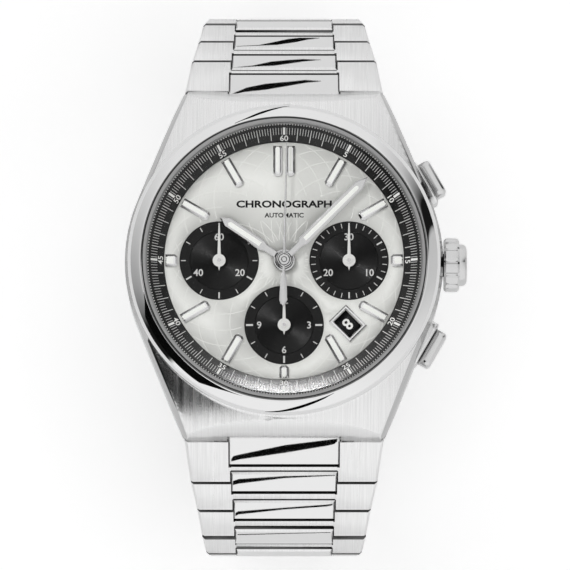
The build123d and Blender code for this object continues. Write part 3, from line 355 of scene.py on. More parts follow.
def faceted(outline, low, high, bevel_width, bevel_height):
    """Prism over a convex outline with a bevelled upper edge."""
    top = inset_outline(outline, bevel_width)
    return stacked([(outline, low), (outline, high - bevel_height), (top, high)])


def moved(part, matrix):
    """Part carried by a matrix."""
    points, faces = part
    return [tuple(matrix @ Vector(point)) for point in points], faces


def dial_turn(clockwise):
    """Turns a part that points along X so that it points to a dial angle in degrees."""
    return Matrix.Rotation(math.radians(90 - clockwise), 4, "Z")


def shift(x, y, z=0.0):
    """Matrix that moves a part."""
    return Matrix.Translation((x, y, z))


# ---------------------------------------------------------------- text
def letters(text, height, bold, stretch=1.0):
    """Points and faces of flat lettering `height` millimetres tall, centred on the origin."""
    curve = bpy.data.curves.new("text", "FONT")
    curve.body = text
    curve.align_x = "CENTER"
    curve.offset = bold
    curve.resolution_u = 3
    holder = bpy.data.objects.new("text", curve)
    bpy.context.scene.collection.objects.link(holder)
    bpy.context.view_layer.update()
    shape = bpy.data.meshes.new_from_object(holder)
    bpy.data.objects.remove(holder)
    bpy.data.curves.remove(curve)
    xs = [v.co.x for v in shape.vertices]
    ys = [v.co.y for v in shape.vertices]
    scale = height / (max(ys) - min(ys))
    middle_x, middle_y = (max(xs) + min(xs)) / 2, (max(ys) + min(ys)) / 2
    wide = scale * stretch
    points = [((v.co.x - middle_x) * wide, (v.co.y - middle_y) * scale, 0.0) for v in shape.vertices]
    faces = [tuple(polygon.vertices) for polygon in shape.polygons]
    bpy.data.meshes.remove(shape)
    return points, faces


def on_flange(radius, clockwise, along=0.0, up=0.0):
    """Point on the sloping scale ring, `along` sideways and `up` towards the rim."""
    reach = radius + up * math.cos(FLANGE_TILT)
    height = FLANGE_FOOT[1] + (reach - FLANGE_FOOT[0]) * math.tan(FLANGE_TILT) + INK
    angle = math.radians(90 - clockwise)
    x, y = reach * math.cos(angle), reach * math.sin(angle)
    return x + along * math.sin(angle), y - along * math.cos(angle), height


def flange_tick(clockwise, inner, outer, width):
    """Thin printed stroke that climbs the scale ring."""
    corners = [
        on_flange(inner, clockwise, -width / 2),
        on_flange(inner, clockwise, width / 2),
        on_flange(outer, clockwise, width / 2),
        on_flange(outer, clockwise, -width / 2),
    ]
    return corners, [(0, 1, 2, 3)]


def flange_number(text, radius, clockwise, height, outward):
    """Numeral printed on the scale ring, its top to the rim or to the centre."""
    points, faces = letters(text, height, 0.012)
    sign = 1 if outward else -1
    placed = []
    for x, y, _ in points:
        placed.append(on_flange(radius, clockwise + sign * math.degrees(x / radius), 0.0, sign * y))
    return placed, faces


def polar_stroke(inner, outer, width, clockwise, z, centre):
    """Flat printed stroke between two radii."""
    half = width / 2
    points = [(inner, -half, z), (outer, -half, z), (outer, half, z), (inner, half, z)]
    return moved((points, [(0, 1, 2, 3)]), shift(*centre) @ dial_turn(clockwise))


def flat_letters(text, height, x, y, z, bold, stretch=1.0):
    """Flat lettering centred on a place of the dial."""
    points, faces = letters(text, height, bold, stretch)
    return [(px + x, py + y, z) for px, py, _ in points], faces


def flat_ring(inner, outer, z, segments):
    """Flat printed ring."""
    points = []
    faces = []
    for step in range(segments):
        angle = 2 * math.pi * step / segments
        for radius in (inner, outer):
            points.append((radius * math.cos(angle), radius * math.sin(angle), z))
    for step in range(segments):
        following = (step + 1) % segments
        faces.append((2 * step, 2 * step + 1, 2 * following + 1, 2 * following))
    return points, faces


# ---------------------------------------------------------------- bezel and crystal
BEZEL = [(20.1, 0.2), (20.1, 1.25), (20.06, 1.38)]
BEZEL += arc_points((20.0, 1.46), (19.42, 2.14), (18.6, 2.57), 14)
BEZEL += [(18.43, 2.6), (18.38, 2.58), (18.35, 2.52), (18.35, 1.15), (17.8, 1.15), (17.8, 0.2)]
bezel_ring = lathe(BEZEL, RING_SEGMENTS)
piece("bezel_polished", bezel_ring, "bezel_polished", "case", ("bezel",), 25.0)

CRYSTAL_CROWN = 3.9
CRYSTAL_FLOOR = 2.05
CRYSTAL = [(0, CRYSTAL_CROWN)]
CRYSTAL += [(r, CRYSTAL_CROWN - 1.0 * (r / 17.4) ** 2) for r in (2, 4, 6, 8, 10, 12, 14, 15.5, 16.6, 17.4)]
CRYSTAL += [(17.7, 2.6), (17.7, 1.55)]
CRYSTAL += [(r, CRYSTAL_FLOOR - 0.5 * (r / 16.8) ** 2) for r in (16.8, 14, 11, 8, 5, 2)]
CRYSTAL += [(0, CRYSTAL_FLOOR)]
crystal_disc = lathe(CRYSTAL, RING_SEGMENTS, closed=False)
piece("crystal_clear", crystal_disc, "crystal", "case", ("crystal",), 35.0)

# ---------------------------------------------------------------- scale ring
FLANGE = [
    (15.4, 0.02), FLANGE_FOOT, FLANGE_HEAD, (17.7, 1.5), (17.7, -0.58), (16.25, -0.58), (16.25, 0.02),
]
flange_cone = lathe(FLANGE, RING_SEGMENTS)
piece("flange_black", flange_cone, "flange_black", "case", ("flange_ring",), 25.0)

# Five strokes to the second; a long stroke at each second and a bold one at each fifth second.
STROKES = 300
STROKE_STEP = 360 / STROKES
NUMBER_RADIUS = 15.88
NUMBER_HEIGHT = 0.8
fine = []
bright = []
for stroke in range(STROKES):
    angle = stroke * STROKE_STEP
    if stroke % 25 == 0:
        bright.append(flange_tick(angle, 16.28, 17.12, 0.3))
    elif stroke % 5 == 0:
        fine.append(flange_tick(angle, 15.62, 17.08, 0.085))
    else:
        fine.append(flange_tick(angle, 16.3, 17.08, 0.06))
piece("scale_fine", fine, "scale_white", "case")
for number in range(5, 65, 5):
    outward = number in (45, 50, 55, 60, 5, 10, 15)
    bright.append(flange_number(str(number), NUMBER_RADIUS, number * 6, NUMBER_HEIGHT, outward))
piece("scale_bold", bright, "white_print", "case")

# Pale dots on the flat rim of the scale ring, the grey band outside them, and a black ring of painted shadow
# for the gap at the gasket's outer edge.
DOT_RADIUS = 0.085
DOT_PLACE = shift(17.5, 0.0, 1.506)
dots = []
for stroke in range(STROKES):
    dot = flat_ring(0.0, DOT_RADIUS, 0.0, 10)
    dots.append(moved(dot, dial_turn(stroke * STROKE_STEP) @ DOT_PLACE))
piece("rim_dots", dots, "white_print", "case")
piece("rim_band", flat_ring(17.6, 17.69, 1.505, RING_SEGMENTS), "rim_grey", "case")
# Black ring of painted shadow in the gap between the gasket and the bezel.
piece("gasket_edge", flat_ring(18.12, 18.3, 2.724, RING_SEGMENTS), "rubber", "case")

# ---------------------------------------------------------------- dial surfaces
SUBDIALS = {"left": (-SUBDIAL_OFFSET, 0.0), "right": (SUBDIAL_OFFSET, 0.0), "lower": (0.0, -SUBDIAL_OFFSET)}
GROOVE_PITCH = 0.11
GROOVES_START = 0.36
GROOVES_END = 3.66
PLATE_TOP = -0.05
PLATE_UNDER = SUBDIAL_FLOOR - 0.01
for side, centre in SUBDIALS.items():
    outline = [(GROOVES_START, PLATE_UNDER)]
    radius = GROOVES_START
    while radius < GROOVES_END:
        outline += [(radius, PLATE_TOP), (radius + GROOVE_PITCH / 2, PLATE_TOP - 0.025)]
        radius += GROOVE_PITCH
    outline += [(3.72, PLATE_TOP), (3.76, PLATE_TOP - 0.035), (3.8, PLATE_TOP)]
    outline += [(5.1, PLATE_TOP), (5.1, PLATE_UNDER)]
    turned_plate = moved(lathe(outline, 144), shift(*centre))
    piece("subdial_" + side, turned_plate, "subdial_black", "case", (), 20.0)

print_z = PLATE_TOP + 0.004
sub_print = []


def sub_scale(side, count, bold_ticks, bold_start, bold_width, width):
    """Strokes round one sub-dial, the bold ones longer and wider."""
    for tick in range(count):
        bold = tick in bold_ticks
        start = bold_start if bold else 4.3
        stroke_width = bold_width if bold else width
        sub_print.append(polar_stroke(start, 4.9, stroke_width, tick * 360 / count, print_z, SUBDIALS[side]))


sub_scale("left", 12, (0, 4, 6, 8), 4.1, 0.19, 0.11)
sub_scale("right", 30, range(0, 30, 5), 4.1, 0.19, 0.09)
sub_scale("lower", 12, range(0, 12, 3), 4.0, 0.24, 0.11)
NUMERALS = {
    "left": (("60", 0), ("20", 120), ("40", 240)),
    "right": (("30", 0), ("10", 120), ("20", 240)),
    "lower": (("12", 0), ("3", 90), ("6", 180), ("9", 270)),
}
for side, entries in NUMERALS.items():
    centre = SUBDIALS[side]
    for text, angle in entries:
        radius = 3.1 if side != "lower" else 3.2
        x = centre[0] + radius * math.sin(math.radians(angle))
        y = centre[1] + radius * math.cos(math.radians(angle))
        sub_print.append(flat_letters(text, 0.92, x, y, print_z, 0.015))
piece("subdial_print", sub_print, "pale_print", "case")

# Engine-turned rosette: fine ridges on circles that all pass through the dial centre.
ROSETTE_RADIUS = 8.0
ROSETTE_CIRCLES = 24
RIDGE_HALF = 0.04
RIDGE_HEIGHT = 0.012


def on_plain_dial(x, y):
    """True where the dial is bare: off the sub-dials, the hub, the rim and the panel behind the words."""
    for centre in SUBDIALS.values():
        if math.hypot(x - centre[0], y - centre[1]) < SUBDIAL_RADIUS + 0.12:
            return False
    on_panel = abs(x) < 7.6 and 5.3 < y < 8.2
    date_reach = DATE_RADIUS * math.sqrt(0.5)
    on_date = abs(x - date_reach) + abs(y + date_reach) < 2.6
    return 2.4 < math.hypot(x, y) < 15.3 and not on_panel and not on_date


def ridge_circle(heading, steps=120):
    """Low ridge along one circle of the rosette, left out where the dial is not bare."""
    centre = (ROSETTE_RADIUS * math.cos(heading), ROSETTE_RADIUS * math.sin(heading))
    points = []
    faces = []
    for step in range(steps):
        angle = 2 * math.pi * step / steps
        for offset, z in ((-RIDGE_HALF, 0.0), (0.0, RIDGE_HEIGHT), (RIDGE_HALF, 0.0)):
            reach = ROSETTE_RADIUS + offset
            x = centre[0] + reach * math.cos(angle)
            y = centre[1] + reach * math.sin(angle)
            points.append((x, y, z + 0.001))
    for step in range(steps):
        start, end = 3 * step, 3 * ((step + 1) % steps)
        if on_plain_dial(*points[start][:2]) and on_plain_dial(*points[end][:2]):
            faces.append((start, start + 1, end + 1, end))
            faces.append((start + 1, start + 2, end + 2, end + 1))
    used = sorted({index for face in faces for index in face})
    order = {index: place for place, index in enumerate(used)}
    return [points[index] for index in used], [tuple(order[index] for index in face) for face in faces]


rosette = [ridge_circle(2 * math.pi * (number + 0.5) / ROSETTE_CIRCLES) for number in range(ROSETTE_CIRCLES)]
piece("dial_rosette", rosette, "guilloche", "case", (), 5.0)

# Two lines of plain words.
words = [
    flat_letters("CHRONOGRAPH", 0.95, 0.0, 7.35, 0.006, 0.034, 1.3),
    flat_letters("AUTOMATIC", 0.62, 0.0, 5.9, 0.006, 0.026, 1.05),
]
piece("dial_words", words, "black_print", "case")


# ---------------------------------------------------------------- hour markers
MARKER_HEIGHT = 0.42


def marker(clockwise, inner, outer, width, sideways):
    """Applied bar with faceted flanks and clipped corners at its inner end."""
    half = width / 2
    clip = 0.3
    outline = [
        (inner, -half + clip), (inner + clip, -half), (outer, -half),
        (outer, half), (inner + clip, half), (inner, half - clip),
    ]
    body = faceted(outline, 0.0, MARKER_HEIGHT, 0.27, 0.24)
    return moved(body, dial_turn(clockwise) @ shift(0, sideways))


def marker_inlay(clockwise, inner, outer, width, sideways):
    """Pale strip let into the top of a marker."""
    half = width / 2
    outline = [(inner, -half), (outer, -half), (outer, half), (inner, half)]
    strip = faceted(outline, MARKER_HEIGHT - 0.02, MARKER_HEIGHT + 0.0005, 0.02, 0.004)
    return moved(strip, dial_turn(clockwise) @ shift(0, sideways))


# Dial angle, inner and outer radius, width and sideways place of each marker.
MARKERS = [(30 * hour, 11.2, 15.1, 1.25, 0.0) for hour in (1, 2, 4, 5, 7, 8, 10, 11)]
MARKERS += [(0, 11.0, 14.9, 1.15, -0.83), (0, 11.0, 14.9, 1.15, 0.83)]
MARKERS += [(90, 13.7, 15.25, 1.58, 0.0), (270, 13.7, 15.25, 1.58, 0.0), (180, 13.6, 15.2, 1.2, 0.0)]
bars = [marker(*place) for place in MARKERS]
DATE_TURN = Matrix.Rotation(math.radians(-45), 4, "Z") @ shift(DATE_RADIUS, 0)
frame_profile = [(0.0, 0.0), (0.0, 0.16), (0.16, 0.3), (0.33, 0.3), (0.475, 0.12), (0.475, 0.0)]
frame_points = []
for inset, z in frame_profile:
    half_x, half_y = 1.9 - inset, 1.55 - inset
    frame_points += [(-half_x, -half_y, z), (half_x, -half_y, z), (half_x, half_y, z), (-half_x, half_y, z)]
frame_faces = []
for level in range(len(frame_profile)):
    following = (level + 1) % len(frame_profile)
    for corner in range(4):
        nxt = (corner + 1) % 4
        frame_faces.append((4 * level + corner, 4 * level + nxt, 4 * following + nxt, 4 * following + corner))
bars.append(moved((frame_points, frame_faces), DATE_TURN))
piece("hour_markers", bars, "marker_polished", "case", ("dial_appliques",), 20.0)
inlays = [marker_inlay(a, i + 0.5, o - 0.12, w - 0.72, s) for a, i, o, w, s in MARKERS]
piece("marker_inlays", inlays, "lume", "case")

# Date digit on the disc under the window, its foot to the dial centre.
DATE_DEPTH = 0.545
digit_turn = DATE_TURN @ shift(0, 0, -DATE_DEPTH) @ Matrix.Rotation(math.radians(-90), 4, "Z")
piece("date_digit", moved(letters("8", 1.55, 0.02), digit_turn), "white_print", "date")


# ---------------------------------------------------------------- hands
def framed_hand(length, neck, body, start, tip, low, high, hub, hole):
    """Hand along X with a bevelled outer edge, a flat top under the pale insert and a round boss."""
    outer = [
        (0.5, -neck / 2), (start - 0.45, -neck / 2), (start, -body / 2), (length - tip, -body / 2),
        (length, 0.0), (length - tip, body / 2), (start, body / 2), (start - 0.45, neck / 2), (0.5, neck / 2),
    ]
    bevel = 0.17
    inner = [(x, y * (1 - bevel * 2 / body)) for x, y in outer]
    inner[4] = (length - 0.32, 0.0)
    blade = stacked([(outer, low), (outer, high - 0.09), (inner, high)])
    boss = [
        (hole, low), (hub, low), (hub, high - 0.05), (hub - 0.08, high),
        (hub - 0.34, high), (hub - 0.4, high - 0.06), (hole, high - 0.06),
    ]
    return [blade, lathe(boss, 72)]


def insert_strip(start, end, width, low, high):
    """Pale strip along X with a pointed end."""
    half = width / 2
    neck = end - half * 0.9
    outline = [(start, -half), (neck, -half), (end, 0.0), (neck, half), (start, half)]
    return faceted(outline, low, high, 0.06, 0.02)


HOUR_TURN = dial_turn(303.75)
MINUTE_TURN = dial_turn(45.0)
CHRONO_TURN = dial_turn(1.3)
HOUR_FRAME = (9.94, 0.9, 1.4, 3.4, 1.15, 0.46, 0.6, 1.4, 0.86)
HOUR_INSERT = (3.6, 8.75, 0.72, 0.55, 0.6005)
HOUR_TUBE = lathe([(0.59, -0.9), (0.85, -0.9), (0.85, 0.6), (0.59, 0.6)], 72)
HOUR_WHEEL = lathe([(0.59, -0.9), (3.0, -0.9), (3.0, -0.65), (0.59, -0.65)], 72)
MINUTE_FRAME = (15.2, 0.8, 1.3, 3.4, 1.5, 0.78, 0.92, 1.1, 0.56)
MINUTE_INSERT = (3.7, 13.6, 0.66, 0.87, 0.9205)


def central_hand(body, turn, frame_sizes, insert_sizes, below=()):
    """Steel frame and pale insert of the hour or minute hand, with what is fixed to it below the dial."""
    parts = [moved(part, turn) for part in framed_hand(*frame_sizes)]
    parts += below
    piece(body + "_hand_steel", parts, "hand_polished", body, (body + "_hand",), 20.0)
    piece(body + "_hand_insert", moved(insert_strip(*insert_sizes), turn), "lume", body)


central_hand("hour", HOUR_TURN, HOUR_FRAME, HOUR_INSERT, (HOUR_TUBE, HOUR_WHEEL))
central_hand("minute", MINUTE_TURN, MINUTE_FRAME, MINUTE_INSERT)

CHRONO_PLAN = [
    (-6.1, 0.0), (-5.35, -0.5), (-2.6, -0.42), (-1.5, -0.2), (15.3, -0.07),
    (15.3, 0.07), (-1.5, 0.2), (-2.6, 0.42), (-5.35, 0.5),
]
CHRONO_RIDGE = [(x * 0.995, y * 0.35) for x, y in CHRONO_PLAN]
chrono_blade = stacked([(CHRONO_PLAN, 1.08), (CHRONO_PLAN, 1.17), (CHRONO_RIDGE, 1.22)])
chrono_parts = [moved(chrono_blade, CHRONO_TURN)]
CHRONO_HUB = [
    (0.0, 1.08), (0.9, 1.08), (0.9, 1.18), (0.84, 1.22), (0.67, 1.22), (0.67, 1.3),
    (0.62, 1.34), (0.4, 1.34), (0.36, 1.3), (0.3, 1.3), (0.26, 1.335), (0.0, 1.34),
]
chrono_parts.append(lathe(CHRONO_HUB, 72, closed=False))
chrono_parts.append(lathe([(0.0, -5.4), (0.3, -5.4), (0.3, 1.08), (0.0, 1.08)], 48, closed=False))
chrono_parts.append(lathe([(0.28, -5.3), (2.2, -5.3), (2.2, -5.1), (0.28, -5.1)], 72))
chrono_node = ("chrono_seconds_hand",)
piece("chrono_hand_steel", chrono_parts, "hand_polished", "chrono_seconds", chrono_node, 20.0)

# Black rings of painted shade where grooves would be turned into the three hubs: body, inner and outer
# radius, height.
HUB_GROOVE_SHADES = {
    "chrono_hub_groove": ("chrono_seconds", 0.68, 0.76, 1.2205),
    "chrono_pin_groove": ("chrono_seconds", 0.3, 0.36, 1.3005),
    "minute_hub_groove": ("minute", 0.92, 1.0, 0.9205),
    "hour_hub_groove": ("hour", 1.12, 1.2, 0.6005),
}
for name, (body, inner, outer, z) in HUB_GROOVE_SHADES.items():
    piece(name, flat_ring(inner, outer, z, 72), "black_print", body)


def small_hand(centre):
    """Slim sub-dial hand pointing up, with a round boss with a raised collar and a short pointed tail."""
    blade = [(-0.24, 0.0), (0.24, 0.0), (0.1, 4.5), (0.0, 4.6), (-0.1, 4.5)]
    tail = [(-0.2, -0.6), (0.0, -1.36), (0.2, -0.6), (0.12, 0.0), (-0.12, 0.0)]
    boss = [
        (0.0, 0.2), (0.83, 0.2), (0.83, 0.27), (0.78, 0.3), (0.4, 0.3),
        (0.4, 0.36), (0.36, 0.38), (0.26, 0.38), (0.22, 0.33), (0.0, 0.33),
    ]
    parts = [faceted(blade, 0.2, 0.28, 0.05, 0.04), faceted(tail, 0.205, 0.27, 0.04, 0.03)]
    parts.append(lathe(boss, 72, closed=False))
    return [moved(part, shift(*centre)) for part in parts]


def small_arbor(centre):
    """Arbor of a counter hand and its wheel below the dial."""
    parts = [lathe([(0.0, -3.2), (0.28, -3.2), (0.28, 0.2), (0.0, 0.2)], 48, closed=False)]
    parts.append(lathe([(0.27, -2.95), (2.4, -2.95), (2.4, -2.75), (0.27, -2.75)], 72))
    return [moved(part, shift(*centre)) for part in parts]


SMALL_HANDS = {
    "small_seconds_hand": ("left", "small_seconds", False),
    "minute_counter_hand": ("right", "minute_counter", True),
    "hour_counter_hand": ("lower", "hour_counter", True),
}
for name, (side, body, with_arbor) in SMALL_HANDS.items():
    centre = SUBDIALS[side]
    parts = small_hand(centre)
    if with_arbor:
        parts += small_arbor(centre)
    piece(name + "_white", parts, "hand_white", body, (name,), 20.0)
    pin = lathe([(0.0, 0.33), (0.2, 0.33), (0.2, 0.36), (0.0, 0.37)], 32, closed=False)
    piece(name + "_pin", moved(pin, shift(*centre)), "pin_steel", body)


# ---------------------------------------------------------------- crown and pushers
CROWN_Z = -4.2
# Distance from the watch's middle, radius and share of the flutes' depth, from the case outward.
CROWN_STATIONS = [
    (20.6, 3.2, 0.0), (20.85, 3.46, 0.55), (21.1, 3.5, 1.0), (22.1, 3.5, 1.0), (22.35, 3.46, 0.55),
    (22.6, 3.2, 0.0), (22.62, 2.72, 0.0), (23.0, 2.7, 0.0), (23.3, 2.62, 0.0), (23.5, 2.42, 0.0),
    (23.58, 2.15, 0.0), (23.6, 1.8, 0.0), (23.55, 1.72, 0.0), (23.55, 0.9, 0.0),
]
FLUTE_DEPTH = 0.34
FLUTE_SPREAD = 0.62
HALF_FLUTES = 6


def fluted_crown(segments=240):
    """Grid of the fluted barrel and its round cap about the X axis."""
    points = []
    for x, radius, flute in CROWN_STATIONS:
        for step in range(segments):
            angle = 2 * math.pi * step / segments
            wave = abs(math.sin(HALF_FLUTES * angle))
            dip = FLUTE_DEPTH * flute * max(0.0, 1 - (wave / FLUTE_SPREAD) ** 2)
            reach = radius - dip
            points.append((x, reach * math.cos(angle), reach * math.sin(angle) + CROWN_Z))
    faces = []
    for ring in range(len(CROWN_STATIONS) - 1):
        for step in range(segments):
            following = (step + 1) % segments
            base = ring * segments
            faces.append((base + step, base + following, base + segments + following, base + segments + step))
    points.append((CROWN_STATIONS[-1][0], 0.0, CROWN_Z))
    points.append((CROWN_STATIONS[0][0], 0.0, CROWN_Z))
    last = (len(CROWN_STATIONS) - 1) * segments
    for step in range(segments):
        following = (step + 1) % segments
        faces.append((last + step, last + following, len(points) - 2))
        faces.append((following, step, len(points) - 1))
    return points, faces


piece("crown_polished", fluted_crown(), "crown_steel", "crown", ("crown",), 28.0)


# ---------------------------------------------------------------- finishes of the CAD nodes
def give(obj, *looks):
    """Fill a node's material slots, in order."""
    obj.data.materials.clear()
    for look in looks:
        obj.data.materials.append(LOOKS[look])


def dress(name, look, smooth=30.0):
    """One finish over a whole CAD node, with soft shading across its curved faces."""
    obj = nodes[name]
    give(obj, look)
    soften(obj, smooth)


def soften(obj, smooth=30.0, bevel=0.0):
    """Weld the seams left by the import, shade by angle and, if asked, round the sharp edges a little."""
    weld = obj.modifiers.new("weld", "WELD")
    weld.merge_threshold = 0.001 * MM
    if bevel:
        round_off = obj.modifiers.new("bevel", "BEVEL")
        round_off.width = bevel * MM
        round_off.segments = 2
        round_off.limit_method = "ANGLE"
        round_off.angle_limit = math.radians(40)
        round_off.harden_normals = True
    obj.data.shade_smooth()
    obj.data.set_sharp_from_angle(angle=math.radians(smooth))


JOINTS = {joint["name"]: joint for joint in frame["joints"]}
LINK_SLOPES = (45, 48, 52, 72, 93, 103, 120, 131, 141, 155)
LINK_CENTRE_WIDTHS = (14.4, 13.75, 13.2, 12.8, 12.5, 12.3, 12.1, 12.0, 11.9, 11.8)
FIRST_CENTRE_END = 4.08
CENTRE_END = 1.78
CENTRE_MARGIN = 0.06
POCKET_REACH = 0.3
CASE_END_REACH = 0.5
LINK_EDGE_ROUNDING = 0.08


def centre_slope(row):
    """Slope of a centre piece in degrees: the first link's own, else halfway to the link before."""
    if row == 1:
        return LINK_SLOPES[0]
    return (LINK_SLOPES[row - 1] + LINK_SLOPES[row - 2]) / 2


def dress_link(side, row):
    """Brushed link, polished centre piece and darker steel as painted shade on the link ends and pocket
    walls, told apart by where their faces lie and point.
    """
    obj = nodes[f"{side}_link_{row}"]
    joint = JOINTS[f"{side}_link_{row}_hinge"]
    sign = 1.0 if side == "twelve" else -1.0
    slope = math.radians(LINK_SLOPES[row - 1])
    pin = Vector(joint["pos_m"])
    along = Vector((0.0, sign * math.cos(slope), -math.sin(slope)))
    lean = math.radians(centre_slope(row))
    outward = Vector((0.0, sign * math.sin(lean), math.cos(lean)))
    end = FIRST_CENTRE_END if row == 1 else CENTRE_END
    half = (LINK_CENTRE_WIDTHS[row - 1] / 2 + CENTRE_MARGIN) * MM
    # The third slot is painted shade: end faces and pocket walls are darkened where the gaps fall in shadow.
    give(obj, "link_brushed", "centre_polished", "gap_steel")
    for polygon in obj.data.polygons:
        place = polygon.center - pin
        normal = polygon.normal
        on_centre = abs(place.x) < half and place.dot(along) < end * MM
        on_end = abs(normal.dot(along)) > 0.85
        in_pocket = abs(normal.x) > 0.9 and abs(place.x) < half + POCKET_REACH * MM
        by_case = row == 1 and place.dot(along) < CASE_END_REACH * MM
        if on_centre and normal.dot(outward) > 0.99:
            polygon.material_index = 1
        elif (on_end or in_pocket) and not by_case:
            polygon.material_index = 2
    soften(obj, 30.0, LINK_EDGE_ROUNDING)
    for polygon in obj.data.polygons:
        polygon.use_smooth = polygon.material_index != 1


for side in ("twelve", "six"):
    for row in range(1, 11):
        dress_link(side, row)

case = nodes["case_middle"]
give(case, "case_brushed", "bevel_polished", "flank_brushed", "crescent_satin")
CRESCENT_SLOPE = math.radians(64)
CRESCENT_NORMAL = Vector((math.sin(CRESCENT_SLOPE), math.cos(CRESCENT_SLOPE)))
LOWEST_BEVEL = -8.3
for polygon in case.data.polygons:
    normal = polygon.normal
    height = polygon.center.z / MM - DIAL_TOP
    off_crescent = (abs(abs(normal.y) - CRESCENT_NORMAL.x), abs(normal.z - CRESCENT_NORMAL.y))
    slanted = 0.3 < normal.z < 0.93 and abs(normal.x) > 0.55
    if max(off_crescent) < 0.02:
        polygon.material_index = 3
    elif height > LOWEST_BEVEL and slanted:
        polygon.material_index = 1
    elif normal.z < 0.3:
        polygon.material_index = 2
soften(case, 25.0)

for name in (
    "clasp_button_right", "clasp_button_left", "start_pusher", "reset_pusher", "case_tubes", "winding_stem",
):
    dress(name, "crown_steel", 40.0)
PLAIN_FINISHES = {
    "clasp_brushed": ("clasp_cover", "clasp_inner_leaf", "clasp_outer_leaf"),
    "dial_silver": ("dial",),
    "black_print": ("date_disc",),
    "gasket": ("crystal_gasket",),
    "rubber": ("crown_gasket",),
    "nickel": ("movement_ring", "main_plate", "train_bridge", "balance_cock", "rotor"),
    "gilt": ("barrel", "centre_wheel", "third_wheel", "fourth_wheel", "escape_wheel", "balance_wheel"),
    "pin_steel": ("bridge_screws", "caseback_screws"),
    "flank_brushed": ("caseback",),
    "crystal": ("caseback_window",),
}
for look, names in PLAIN_FINISHES.items():
    for name in names:
        dress(name, look)


# ---------------------------------------------------------------- studio
FLOOR_GREY = (0.9, 0.9, 0.9)
FLOOR_SIZE = 0.8
FLOOR_GAP = 0.0002
GLOW_IN_MIRRORS = 0.15
GLOW_FOR_CAMERA = 0.4
CARD_BLACK = (0.004, 0.004, 0.004)


def stage_material(name, colour):
    """Plain matt paint for the floor and the cards."""
    material, tree, shader = new_material(name)
    shader.inputs["Base Color"].default_value = (*colour, 1.0)
    shader.inputs["Roughness"].default_value = 0.9
    shader.inputs["Specular IOR Level"].default_value = 0.0
    return material


def floor():
    """Pale floor that glows a little, more so where the camera sees it than in mirrors."""
    bpy.ops.mesh.primitive_plane_add(size=FLOOR_SIZE, location=(0, 0, cad_low.z - FLOOR_GAP))
    plane = bpy.context.object
    plane.name = "floor"
    pale = stage_material("floor_white", FLOOR_GREY)
    tree = pale.node_tree
    shader = tree.nodes["Principled BSDF"]
    shader.inputs["Emission Color"].default_value = (*FLOOR_GREY, 1.0)
    path = node(tree, "LightPath")
    glow = ranged(tree, path.outputs["Is Camera Ray"], GLOW_IN_MIRRORS, GLOW_FOR_CAMERA, 0.0, 1.0)
    tree.links.new(glow, shader.inputs["Emission Strength"])
    plane.data.materials.append(pale)


def direction(azimuth, elevation):
    """Unit vector from the watch head. Azimuth 0 is the 12 o'clock side, 90 the crown side."""
    az, el = math.radians(azimuth), math.radians(elevation)
    return Vector((math.cos(el) * math.sin(az), math.cos(el) * math.cos(az), math.sin(el)))


def hide_from_all_but_mirrors(sheet):
    sheet.visible_camera = False
    sheet.visible_diffuse = False
    sheet.visible_shadow = False


def card(name, azimuth, elevation, distance, width, height):
    """Black card facing the watch head, seen only in reflections."""
    bpy.ops.mesh.primitive_plane_add(size=1.0)
    plane = bpy.context.object
    plane.name = name
    away = direction(azimuth, elevation)
    facing = away.to_track_quat("Z", "Y").to_matrix().to_4x4()
    centre = Vector((0, 0, DIAL_TOP * MM)) + away * distance
    plane.matrix_world = Matrix.Translation(centre) @ facing @ Matrix.Diagonal((width, height, 1.0, 1.0))
    plane.data.materials.append(stage_material(name, CARD_BLACK))
    hide_from_all_but_mirrors(plane)


def area_light(name, azimuth, elevation, distance, size, power):
    """Soft round lamp aimed at the watch head."""
    lamp = bpy.data.lights.new(name, "AREA")
    lamp.shape = "DISK"
    lamp.size = size
    lamp.energy = power
    holder = bpy.data.objects.new(name, lamp)
    bpy.context.scene.collection.objects.link(holder)
    away = direction(azimuth, elevation)
    holder.location = Vector((0, 0, DIAL_TOP * MM)) + away * distance
    holder.rotation_euler = away.to_track_quat("Z", "Y").to_euler()
    return holder


def lit_only(lamp, name, pieces):
    """Let a lamp light only the given pieces, as a small snooted lamp would."""
    group = bpy.data.collections.new(name)
    for obj in pieces:
        group.objects.link(obj)
    lamp.light_linking.receiver_collection = group


floor()
DIAL_WORDS = ("dial", "subdial", "hour", "minute", "marker", "chrono", "small", "date")
DIAL_PIECES = [obj for obj in bpy.data.objects if obj.type == "MESH" and obj.name.split("_")[0] in DIAL_WORDS]
RING_PIECES = [bpy.data.objects[name] for name in ("flange_black", "scale_fine", "scale_bold")]
key_light = area_light("key_light", azimuth=-48, elevation=44, distance=0.9, size=0.26, power=3.2)
lit_only(key_light, "key_lit", DIAL_PIECES + RING_PIECES)
back_glow = area_light("back_glow", azimuth=0, elevation=9, distance=0.6, size=0.4, power=8.0)
back_glow.data.shape = "RECTANGLE"
back_glow.data.size_y = 0.1
lit_only(back_glow, "glow_lit", RING_PIECES[:1])
card("case_shade", azimuth=236, elevation=41, distance=0.12, width=0.08, height=0.105)

# Brightness of the studio walls round the watch: dial angle in degrees against grey.
WALLS = [
    (0, 0.95), (30, 0.9), (45, 0.62), (54, 0.25), (59, 0.01), (69, 0.01), (71, 0.6), (90, 0.65), (115, 0.85),
    (150, 1.0), (232, 1.0), (235, 0.01), (251, 0.01), (257, 0.2), (268, 0.38), (290, 0.6), (320, 0.88),
    (360, 0.95),
]
CEILING = 0.95


